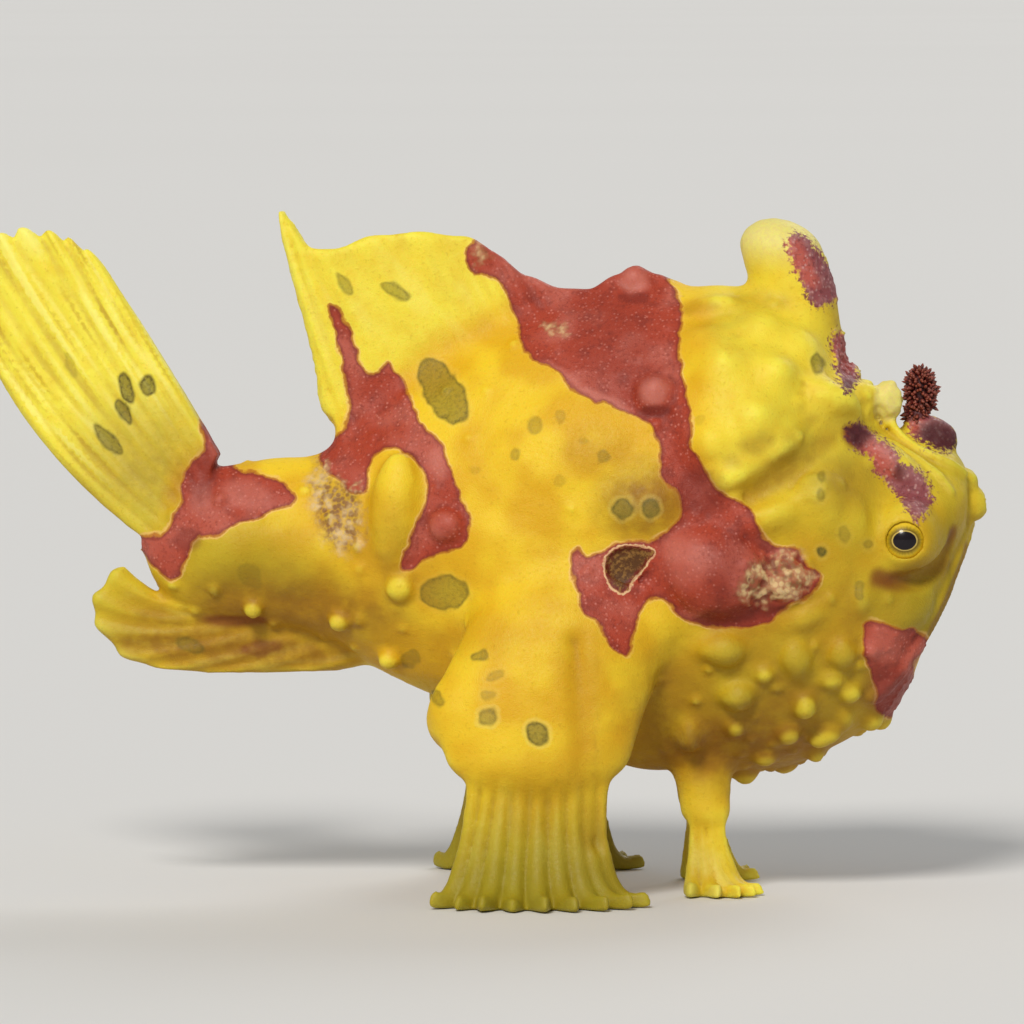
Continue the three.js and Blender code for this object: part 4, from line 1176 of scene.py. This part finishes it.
    def all(self):
        self.patches("red", RED_PATCHES)
        self.patches("plum", PLUM_PATCHES)
        self.patches("crust", CRUST_PATCHES)
        self.patches("scar", [SCAR])
        self.spots()
        self.stains("stain_and_shade", STAINS_AND_SHADE, 0.9)
        self.stains("dark_red_and_shadow", DARK_RED_AND_SHADOWS, 0.4)
        self.stains("pink_and_highlight", PINK_PARTS_AND_HIGHLIGHT, 0.5)
        self.stains("rosy", ROSY_PARTS, 0.5)
        self.stains("darkest", DARKEST_PARTS, 0.5)
        self.stains("shade", SHADES, 1.0)
        self.tuft()
        self.crease_shade()
        self.relief()
        self.zones()
        return self.layers


# Blender meshes
# The x of the frame's origin, found from the right eye, which is at this x in the solids
SOLID_EYE_X = 90.5
CENTRE_X = SOLID_EYE_X - 1000 * (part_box("eye_right")[0][0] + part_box("eye_right")[1][0]) / 2


def to_frame(points):
    """From the fish's millimetres to the frame's metres."""
    return (np.asarray(points, float) - [CENTRE_X, 0, 0]) * MM


def add_object(name, data):
    made = bpy.data.objects.new(name, data)
    bpy.context.scene.collection.objects.link(made)
    return made


def faced_object(name, points, faces):
    """A smooth object whose faces have unlike numbers of sides."""
    mesh = bpy.data.meshes.new(name)
    mesh.from_pydata(to_frame(points).tolist(), [], faces)
    mesh.polygons.foreach_set("use_smooth", np.full(len(mesh.polygons), True))
    return add_object(name, mesh)


def mesh_object(name, points, quads):
    """A smooth object of faces with as many sides each."""
    mesh = bpy.data.meshes.new(name)
    count, sides = quads.shape
    mesh.vertices.add(len(points))
    mesh.vertices.foreach_set("co", to_frame(points).astype(np.float32).ravel())
    mesh.loops.add(count * sides)
    mesh.loops.foreach_set("vertex_index", quads.astype(np.int32).ravel())
    mesh.polygons.add(count)
    mesh.polygons.foreach_set("loop_start", np.arange(0, count * sides, sides, dtype=np.int32))
    mesh.update(calc_edges=True)
    mesh.polygons.foreach_set("use_smooth", np.full(count, True))
    return add_object(name, mesh)


def add_layer(made, name, values):
    layer = made.data.attributes.new(name, "FLOAT", "POINT")
    layer.data.foreach_set("value", np.asarray(values, np.float32))


# Nodes
class Shader:
    """Adds the nodes of one material. A value is a number, a colour or a socket."""

    def __init__(self, name):
        self.material = bpy.data.materials.new(name)
        self.material.use_nodes = True
        self.tree = self.material.node_tree
        self.surface = self.tree.nodes["Principled BSDF"]
        coordinates = self.tree.nodes.new("ShaderNodeTexCoord")
        scaled = self.tree.nodes.new("ShaderNodeVectorMath")
        scaled.operation = "SCALE"
        scaled.inputs["Scale"].default_value = 1 / MM
        self.tree.links.new(coordinates.outputs["Object"], scaled.inputs[0])
        self.place = scaled.outputs[0]

    def set(self, socket, value):
        if isinstance(value, bpy.types.NodeSocket):
            self.tree.links.new(value, socket)
        elif socket.type == "RGBA":
            socket.default_value = (*value, 1)
        else:
            socket.default_value = value

    def math(self, operation, a, b=0.0, clamp=False):
        node = self.tree.nodes.new("ShaderNodeMath")
        node.operation = operation
        node.use_clamp = clamp
        self.set(node.inputs[0], a)
        self.set(node.inputs[1], b)
        return node.outputs[0]

    def plus(self, a, b, clamp=False):
        return self.math("ADD", a, b, clamp)

    def minus(self, a, b):
        return self.math("SUBTRACT", a, b)

    def times(self, a, b):
        return self.math("MULTIPLY", a, b)

    def step(self, value, low, high, to_low=0.0, to_high=1.0):
        """Goes smoothly from to_low to to_high as value goes from low to high."""
        node = self.tree.nodes.new("ShaderNodeMapRange")
        node.interpolation_type = "SMOOTHSTEP"
        for index, one in enumerate([value, low, high, to_low, to_high]):
            self.set(node.inputs[index], one)
        return node.outputs[0]

    def blend(self, share, a, b):
        node = self.tree.nodes.new("ShaderNodeMix")
        node.data_type = "RGBA"
        node.clamp_factor = True
        for index, one in ((0, share), (6, a), (7, b)):
            self.set(node.inputs[index], one)
        return node.outputs[2]

    def finish(self, **sockets):
        """Set the surface's sockets, named with underscores for spaces, and return the material."""
        for name, value in sockets.items():
            self.set(self.surface.inputs[name.replace("_", " ")], value)
        return self.material

    def layer(self, name):
        node = self.tree.nodes.new("ShaderNodeAttribute")
        node.attribute_name = name
        return node.outputs["Fac"]

    def noise(self, size, detail, roughness=0.55):
        node = self.tree.nodes.new("ShaderNodeTexNoise")
        self.set(node.inputs["Vector"], self.place)
        node.inputs["Scale"].default_value = 1 / size
        node.inputs["Detail"].default_value = detail
        node.inputs["Roughness"].default_value = roughness
        return node.outputs["Fac"]

    def cells(self, size):
        node = self.tree.nodes.new("ShaderNodeTexVoronoi")
        self.set(node.inputs["Vector"], self.place)
        node.inputs["Scale"].default_value = 1 / size
        return node.outputs["Distance"]

    def bump(self, height, distance):
        node = self.tree.nodes.new("ShaderNodeBump")
        node.inputs["Distance"].default_value = distance * MM
        self.set(node.inputs["Height"], height)
        return node.outputs["Normal"]


def colour(red, green, blue):
    """A linear colour from sRGB numbers of 0 to 255."""
    def linear(c):
        c /= 255
        return c / 12.92 if c <= 0.04045 else ((c + 0.055) / 1.055) ** 2.4
    return tuple(linear(c) for c in (red, green, blue))


GOLD = colour(236, 198, 34)
GOLD_DEEP = colour(222, 172, 18)
LEMON = colour(240, 226, 70)
OCHRE = colour(172, 124, 12)
BROWN = colour(132, 82, 10)
SHADE = colour(140, 126, 20)
FIN_LINE = colour(250, 242, 130)
FOLD_SHADE = colour(116, 48, 16)
BRICK = colour(168, 62, 38)
BRICK_DARK = colour(112, 34, 24)
BRICK_PINK = colour(202, 118, 102)
EDGE_PALE = colour(238, 190, 116)
EDGE_ORANGE = colour(176, 104, 18)
OLIVE = colour(100, 88, 22)
RING_PALE = colour(232, 214, 110)
PLUM = colour(142, 74, 76)
PLUM_DARK = colour(66, 20, 24)
PLUM_ROSY = colour(190, 92, 78)
PLUM_GRAIN = colour(214, 172, 166)
CREAM = colour(230, 218, 116)
SAND = colour(218, 188, 134)
SAND_DARK = colour(134, 94, 54)
SCAR_BROWN = colour(92, 56, 22)
SCAR_TAN = colour(152, 110, 52)
SCAR_RIM = colour(226, 188, 140)


def skin_material():
    s = Shader("frogfish_skin")
    broad = s.noise(5.0, 1)
    middling = s.noise(1.5, 2)
    fine = s.noise(0.4, 3, 0.6)
    grain = s.noise(0.13, 1)
    flecks = s.cells(0.5)
    wobble = s.plus(s.times(s.minus(middling, 0.5), 0.9), s.times(s.minus(fine, 0.5), 0.3))

    # yellow skin: golden with lemon fins and zones; lemon on raised lumps and wart tips is a painted
    # highlight, ochre in hollows and on undersides is painted shade
    golden = s.blend(s.step(broad, 0.35, 0.68), GOLD_DEEP, GOLD)
    # lemon on raised lumps and wart tips is a painted highlight
    raised_highlight = s.step(s.layer("broad"), 0.0, 0.6)
    tips = s.math("MAXIMUM", s.step(s.layer("wart"), 0.25, 1.0), s.step(s.layer("fine"), 0.015, 0.11))
    lemon = s.plus(s.layer("lemon"), s.times(s.plus(raised_highlight, tips), 0.4), True)
    skin = s.blend(s.times(lemon, s.step(middling, 0.2, 0.7, 0.65, 1.0)), golden, LEMON)
    # ochre in the hollows of the skin is painted shade
    hollow_shade = s.math("MAXIMUM", s.step(s.layer("fine"), -0.01, -0.09), s.step(s.layer("broad"), -0.1, -0.6))
    skin = s.blend(s.times(hollow_shade, 0.5), skin, OCHRE)
    # ochre on the downward faces is painted shade
    skin = s.blend(s.times(s.layer("under"), 0.5), skin, OCHRE)
    skin = s.blend(s.step(fine, 0.55, 0.75, 0.0, 0.25), skin, OCHRE)
    for tone, low, high, most in ((FIN_LINE, 0.0, 0.6, 0.6), (OCHRE, -0.1, -0.6, 0.4)):
        streaks = s.step(s.layer("streaks"), low, high, 0.0, most)
        skin = s.blend(s.times(s.layer("fin"), streaks), skin, tone)
    # olive painted shade of face, throat, toes and hind flank, less on wart tips
    shaded = s.step(s.layer("wart"), 0.35, 1.0, 1.0, 0.6)
    skin = s.blend(s.times(s.layer("shade"), shaded), skin, SHADE)
    # brown stains, and painted shade at the throat, under the eye, along the anal fin and in the crown's
    # hollows; less of both on wart tips
    stain_and_shade_share = s.times(s.step(middling, 0.25, 0.65, 0.7, 1.0), s.step(s.layer("wart"), 0.35, 1.0, 1.0, 0.3))
    skin = s.blend(s.times(s.layer("stain_and_shade"), stain_and_shade_share), skin, BROWN)
    # dark brown painted shade along the skin's folds
    skin = s.blend(s.times(s.layer("fold"), 0.85), skin, FOLD_SHADE)

    # olive spots, some of them ringed
    spot = s.plus(s.layer("spot_edge"), s.times(wobble, 0.45))
    ring = s.times(s.step(spot, -0.6, -0.25), s.layer("spot_ring"))
    skin = s.blend(s.times(ring, 0.3), skin, RING_PALE)
    inside = s.times(s.step(spot, -0.25, 0.15), s.layer("spot_depth"))
    rim = s.step(s.math("ABSOLUTE", s.minus(spot, 0.1)), 0.35, 0.0, 0.7, 0.88)
    rim = s.times(rim, s.step(fine, 0.2, 0.7, 1.0, 0.7))
    skin = s.blend(s.times(inside, rim), skin, OLIVE)

    # brick-red saddles with a thin pale outline and pink grains
    red_edge = s.plus(s.layer("red"), s.times(wobble, 0.75))
    outline = s.times(s.step(red_edge, -0.34, -0.15), s.step(broad, 0.45, 0.6, 0.1, 0.8))
    skin = s.blend(s.times(outline, 0.7), skin, EDGE_PALE)
    skin = s.blend(s.step(red_edge, -0.16, -0.01, 0.0, 0.85), skin, EDGE_ORANGE)
    brick = s.blend(s.step(middling, 0.45, 0.75, 0.0, 0.5), BRICK, BRICK_DARK)
    brick = s.blend(s.step(broad, 0.45, 0.7, 0.0, 0.4), brick, BRICK_PINK)
    brick = s.blend(s.step(fine, 0.5, 0.7, 0.0, 0.4), brick, BRICK_DARK)
    grains = s.times(s.step(flecks, 0.36, 0.08), s.step(middling, 0.3, 0.6, 0.15, 0.75))
    brick = s.blend(grains, brick, BRICK_PINK)
    # dark red in the hollows is painted shade, and pink on the swellings is a painted highlight
    brick = s.blend(s.step(s.layer("fine"), -0.01, -0.08, 0.0, 0.7), brick, BRICK_DARK)
    brick = s.blend(s.step(s.layer("broad"), 0.05, 0.7, 0.0, 0.5), brick, BRICK_PINK)
    # pink parts of the saddles, with a painted highlight on the red swelling's left side
    brick = s.blend(s.times(s.layer("pink_and_highlight"), 0.8), brick, BRICK_PINK)
    brick = s.blend(s.step(red_edge, 0.5, 0.1, 0.0, 0.6), brick, BRICK_DARK)
    skin = s.blend(s.step(red_edge, 0.0, 0.2), skin, brick)
    # darker red of the saddles and spots, with painted shadow under the red swelling and the knobs
    skin = s.blend(s.layer("dark_red_and_shadow"), skin, BRICK_DARK)

    # the scar, sandy crust, plum bands and cream tips
    scar = s.plus(s.layer("scar"), s.times(wobble, 1.1))
    pit = s.blend(s.step(scar, 0.15, 0.8), BRICK_DARK, SCAR_BROWN)
    pit = s.blend(s.step(fine, 0.45, 0.65, 0.0, 0.8), pit, SCAR_TAN)
    skin = s.blend(s.step(scar, 0.08, 0.2), skin, pit)
    scar_rim = s.step(s.math("ABSOLUTE", scar), 0.18, 0.05, 0.0, s.step(fine, 0.3, 0.6, 0.5, 0.9))
    skin = s.blend(scar_rim, skin, SCAR_RIM)
    crust_edge = s.plus(s.layer("crust"), s.times(wobble, 3.0))
    crumbs = s.times(s.step(flecks, 0.75, 0.4, 0.5, 1.0), s.step(crust_edge, -0.3, 1.5, 0.0, 0.92))
    sand = s.blend(s.step(middling, 0.4, 0.62), SAND_DARK, SAND)
    # dark red in the crust's hollows is painted shade
    sand = s.blend(s.step(s.layer("fine"), 0.01, -0.05, 0.0, 0.8), sand, BRICK_DARK)
    skin = s.blend(crumbs, skin, sand)
    plum_edge = s.plus(s.layer("plum"), s.times(wobble, 1.2))
    plum_edge = s.plus(plum_edge, s.step(fine, 0.35, 0.7, -0.3, 0.35))
    plum = s.blend(s.layer("rosy"), PLUM, PLUM_ROSY)
    plum = s.blend(s.step(fine, 0.5, 0.68, 0.0, 0.4), plum, PLUM_DARK)
    plum = s.blend(s.step(s.layer("fine"), 0.0, 0.06, 0.0, 0.22), plum, PLUM_GRAIN)
    plum = s.blend(s.step(flecks, 0.4, 0.1, 0.0, 0.45), plum, PLUM_GRAIN)
    plum = s.blend(s.times(s.layer("darkest"), 0.85), plum, PLUM_DARK)
    cream = s.blend(s.step(fine, 0.35, 0.7, 0.0, 0.4), CREAM, SAND)
    skin = s.blend(s.layer("cream"), skin, cream)
    skin = s.blend(s.step(plum_edge, -0.3, 0.3), skin, plum)

    # relief too fine for the mesh
    height = s.plus(s.times(fine, 0.6), s.times(grain, 0.4))
    return s.finish(
        Base_Color=skin,
        Normal=s.bump(height, 0.09),
        Roughness=s.step(fine, 0.3, 0.7, 0.46, 0.62),
        Specular_IOR_Level=0.28,
        Subsurface_Weight=0.2,
        Subsurface_Radius=(1.0, 0.6, 0.2),
        Subsurface_Scale=1.2 * MM,
    )


# Skin
def build_flesh():
    flesh = Flesh()
    flesh.surface(body_surface(), 0.1)
    for side in SIDES:
        add_head(flesh, side)
    add_fins(flesh)
    for side in SIDES:
        add_limbs(flesh, side)
        add_flanks(flesh, side)
    add_spines(flesh)
    add_mouth(flesh)
    base = Flesh()
    base.values = flesh.values.copy()
    add_warts(flesh)
    for side in SIDES:
        add_scar(flesh, side)
        open_head(flesh, side)
    grid = flesh.window(FIELD_LOW, FIELD_HIGH)[1]
    flesh.values = smooth_max(flesh.values, (FLOOR_LEVEL - grid[2]).astype(np.float32), 0.3)
    return flesh, base


def make_skin():
    flesh, base = build_flesh()
    points, quads = without_crumbs(*flesh.mesh())
    normals = vertex_normals(points, quads)
    if normals[np.argmax(points[:, 2])][2] < 0:
        quads = quads[:, ::-1]
    ring = Ring(quads, len(points))
    points = ring.smoothed(points, 2)
    normals = vertex_normals(points, quads)
    lift = 0.14 * mottle(points, 4, 60) + 0.03 * noise(points, 0.8, 66)
    along, ray, fin = fin_places(points)
    streaks = mottle(np.stack([ray * 3, along * 3, fin * 0], -1), 1.0, 70)
    lift = lift * (1 - 0.7 * fin) + 0.07 * streaks * fin
    free = ramp(points[:, 2], 0.3, 2) * ramp(from_eye(points), 2.2, 4)
    points = points + normals * (lift * free)[:, None]
    normals = vertex_normals(points, quads)
    layers = Paint(points, normals, ring, base, streaks, fin).all()
    skin = mesh_object("skin", points, quads)
    for name, values in layers.items():
        add_layer(skin, name, values)
    skin.data.materials.append(skin_material())
    return skin


# Eyes
EYE_GOLD = colour(206, 172, 30)
EYE_GREEN = colour(184, 154, 26)
EYE_SHADE = colour(104, 82, 12)
EYE_PALE = colour(206, 178, 88)
EYE_RIM = colour(226, 192, 44)
PUPIL = colour(18, 8, 16)
PUPIL_RADIUS = (1.14, 0.9)
EYE_AROUND, EYE_ALONG = 96, 64


def eye_material():
    s = Shader("frogfish_eye")
    streaks = s.layer("streak")
    iris = s.blend(s.step(streaks, 0.3, 0.8), EYE_GOLD, EYE_GREEN)
    edge = s.plus(s.layer("pupil"), s.times(s.minus(s.noise(0.3, 2), 0.5), 0.08))
    iris = s.blend(s.step(edge, 0.45, 0.8), iris, EYE_RIM)
    iris = s.blend(s.step(edge, 0.62, 0.16, 0.0, 0.9), iris, EYE_SHADE)
    iris = s.blend(s.step(edge, 0.16, 0.1, 0.0, 0.9), iris, EYE_PALE)
    iris = s.blend(s.step(edge, 0.05, -0.02), iris, PUPIL)
    return s.finish(
        Base_Color=iris,
        Roughness=s.step(edge, 0.0, 0.3, 0.25, 0.4),
        Normal=s.bump(s.times(streaks, s.step(edge, 0.1, 0.4)), 0.02),
        Specular_IOR_Level=0.2,
        Coat_Weight=0.25,
        Coat_Roughness=0.04,
    )


def make_eye(side, material):
    turn = np.linspace(0, 2 * np.pi, EYE_AROUND, endpoint=False)
    polar = np.linspace(0, np.pi, EYE_ALONG)[1:-1]
    radius = EYE["radius"] - 0.02
    across, out = radius * np.sin(polar), radius * np.cos(polar)
    x = across[:, None] * np.cos(turn)
    z = across[:, None] * np.sin(turn)
    y = np.repeat(out[:, None], EYE_AROUND, 1)
    pupil = np.hypot(x / PUPIL_RADIUS[0], z / PUPIL_RADIUS[1])
    rings = np.stack([EYE["x"] + x, side * (EYE["y"] + y), EYE["z"] + z], -1)
    points, quads, corners = lofted(rings, on_eye_axis(side, radius), on_eye_axis(side, -radius))
    name = "eye_ball_right" if side == RIGHT else "eye_ball_left"
    made = faced_object(name, points, [*quads.tolist(), *corners.tolist()])
    front = np.repeat(np.where(out > 0, 0, 1)[:, None], EYE_AROUND, 1)
    edge = np.append((pupil - 1 + 5 * front).ravel(), [-1, 5])
    angle = np.broadcast_to(turn, pupil.shape)
    streak = 0.5 + 0.2 * np.sin(angle * 13 + 3 * np.sin(angle * 5))
    streak = streak + 0.2 * np.sin(angle * 29 + 2 * np.sin(angle * 3))
    add_layer(made, "pupil", edge)
    add_layer(made, "streak", np.append(streak.ravel(), [0.5, 0.5]))
    made.data.materials.append(material)
    return made


# The frills of the second dorsal spine: small lobes set over its tuft, each a bent and tapered club.
FRILL_COUNTS = (300, 110)
FRILL_LENGTH = (0.55, 1.0)
FRILL_RADIUS = (0.12, 0.19)
FRILL_RED = colour(112, 34, 26)
FRILL_DARK = colour(56, 18, 14)
FRILL_PALE = colour(160, 84, 62)


def frill_material():
    s = Shader("frogfish_frills")
    tip = s.layer("tip")
    fine = s.noise(0.35, 3)
    tone = s.blend(s.step(fine, 0.35, 0.65), FRILL_RED, FRILL_DARK)
    tone = s.blend(s.step(tip, 0.55, 1.0, 0.0, 0.6), tone, FRILL_PALE)
    return s.finish(
        Base_Color=tone,
        Roughness=s.step(fine, 0.3, 0.7, 0.45, 0.65),
        Normal=s.bump(s.noise(0.14, 2), 0.04),
        Subsurface_Weight=0.2,
        Subsurface_Scale=0.5 * MM,
    )


def make_frills():
    random = np.random.default_rng(5)
    golden_turn = math.pi * (3 - math.sqrt(5))
    around, steps = 8, 6
    points, faces, tips = [], [], []
    tufts = zip((SECOND_SPINE_TUFT, SECOND_SPINE_STEM), FRILL_COUNTS)
    for form, k, count in [(form, k, count) for form, count in tufts for k in range(count)]:
        radii = np.array(form["radii"])
        rise = 1 - 1.95 * (k + 0.5) / count
        turn = k * golden_turn + random.uniform(-0.3, 0.3)
        flat = math.sqrt(1 - rise * rise)
        way = np.array([flat * math.cos(turn), flat * math.sin(turn), rise])
        root = form["at"] + way * (radii - 0.6)
        out = way / radii
        out /= np.linalg.norm(out)
        length, radius = random.uniform(*FRILL_LENGTH), random.uniform(*FRILL_RADIUS)
        bend = random.normal(0, 0.25, 3)
        side_axis, up_axis, _ = axes_along(out)
        first = len(points)
        for j in range(steps):
            t = j / (steps - 1)
            middle = root + out * (length * t) + bend * (length * 0.5 * t * t)
            width = radius * (0.9 + 0.3 * t) * math.sqrt(max(0.0, 1 - t**5) + 0.02)
            for i in range(around):
                angle = 2 * math.pi * i / around
                points.append(middle + width * (math.cos(angle) * side_axis + math.sin(angle) * up_axis))
                tips.append(t)
        for j in range(steps - 1):
            for i in range(around):
                a, b = first + j * around + i, first + j * around + (i + 1) % around
                faces.append([a, b, b + around, a + around])
        faces.append(list(range(first, first + around))[::-1])
        faces.append(list(range(first + (steps - 1) * around, first + steps * around)))
    made = faced_object("second_spine_frills", points, faces)
    add_layer(made, "tip", tips)
    made.data.materials.append(frill_material())
    return made


# Stage
STAGE_PALE = colour(222, 221, 218)
STAGE_DIM = colour(221, 220, 217)
FLOOR_HALF = 60000
SKY = colour(232, 234, 236)
SKY_STRENGTH = 0.4
# Lamps: name, strength, spread in degrees, tint and place in mm
LAMPS = [
    ["key", 2.35, 16, (1, 0.97, 0.93), (-160, -560, 520)],
    ["rim", 0.7, 30, (1, 1, 1), (260, 500, 420)],
]
LAMP_AIM = (0, 0, 30)


def stage_material():
    s = Shader("stage_paper")
    return s.finish(
        Base_Color=s.blend(s.step(s.noise(900, 1), 0.3, 0.7), STAGE_PALE, STAGE_DIM),
        Roughness=s.step(s.noise(900, 1), 0.3, 0.7, 0.74, 0.78),
    )


def make_stage():
    x = np.array([-FLOOR_HALF, FLOOR_HALF])
    corners = np.array([[a, b, 0] for a in x for b in x], float)
    floor = mesh_object("stage_floor", corners, np.array([[0, 2, 3, 1]]))
    floor.data.materials.append(stage_material())


def make_lights():
    for name, strength, spread, tint, at in LAMPS:
        data = bpy.data.lights.new(name, "SUN")
        data.energy = strength
        data.angle = math.radians(spread)
        data.color = tint
        lamp = add_object(name, data)
        lamp.location = Vector(np.array(at) * MM)
        way = Vector(np.array(LAMP_AIM) * MM) - lamp.location
        lamp.rotation_euler = way.to_track_quat("-Z", "Y").to_euler()
    world = bpy.data.worlds.new("studio")
    bpy.context.scene.world = world
    world.use_nodes = True
    background = world.node_tree.nodes["Background"]
    background.inputs["Color"].default_value = (*SKY, 1)
    background.inputs["Strength"].default_value = SKY_STRENGTH


def make_camera():
    right, up, back = camera_axes()
    data = bpy.data.cameras.new("camera")
    data.sensor_width = SENSOR_WIDTH
    data.lens = SENSOR_WIDTH * CAMERA_DISTANCE / VIEW_WIDTH
    data.clip_start = 0.05
    data.clip_end = 200
    camera = add_object("camera", data)
    place = Vector(to_frame(np.array(VIEW_MIDDLE) + back * CAMERA_DISTANCE))
    turn = Matrix(np.stack([right, up, back], -1).tolist())
    camera.matrix_world = Matrix.Translation(place) @ turn.to_4x4()
    bpy.context.scene.camera = camera


make_camera()
make_lights()
make_stage()
bpy.context.scene.view_settings.view_transform = "Standard"

skin = make_skin()
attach(skin, "root")
FLESH_NODES = sorted(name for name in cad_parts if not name.startswith("eye_"))
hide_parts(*FLESH_NODES)
eye_finish = eye_material()
for side, node in ((RIGHT, "eye_right"), (LEFT, "eye_left")):
    eye = make_eye(side, eye_finish)
    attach(eye, "root")
    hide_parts(node)
frills = make_frills()
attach(frills, "root")
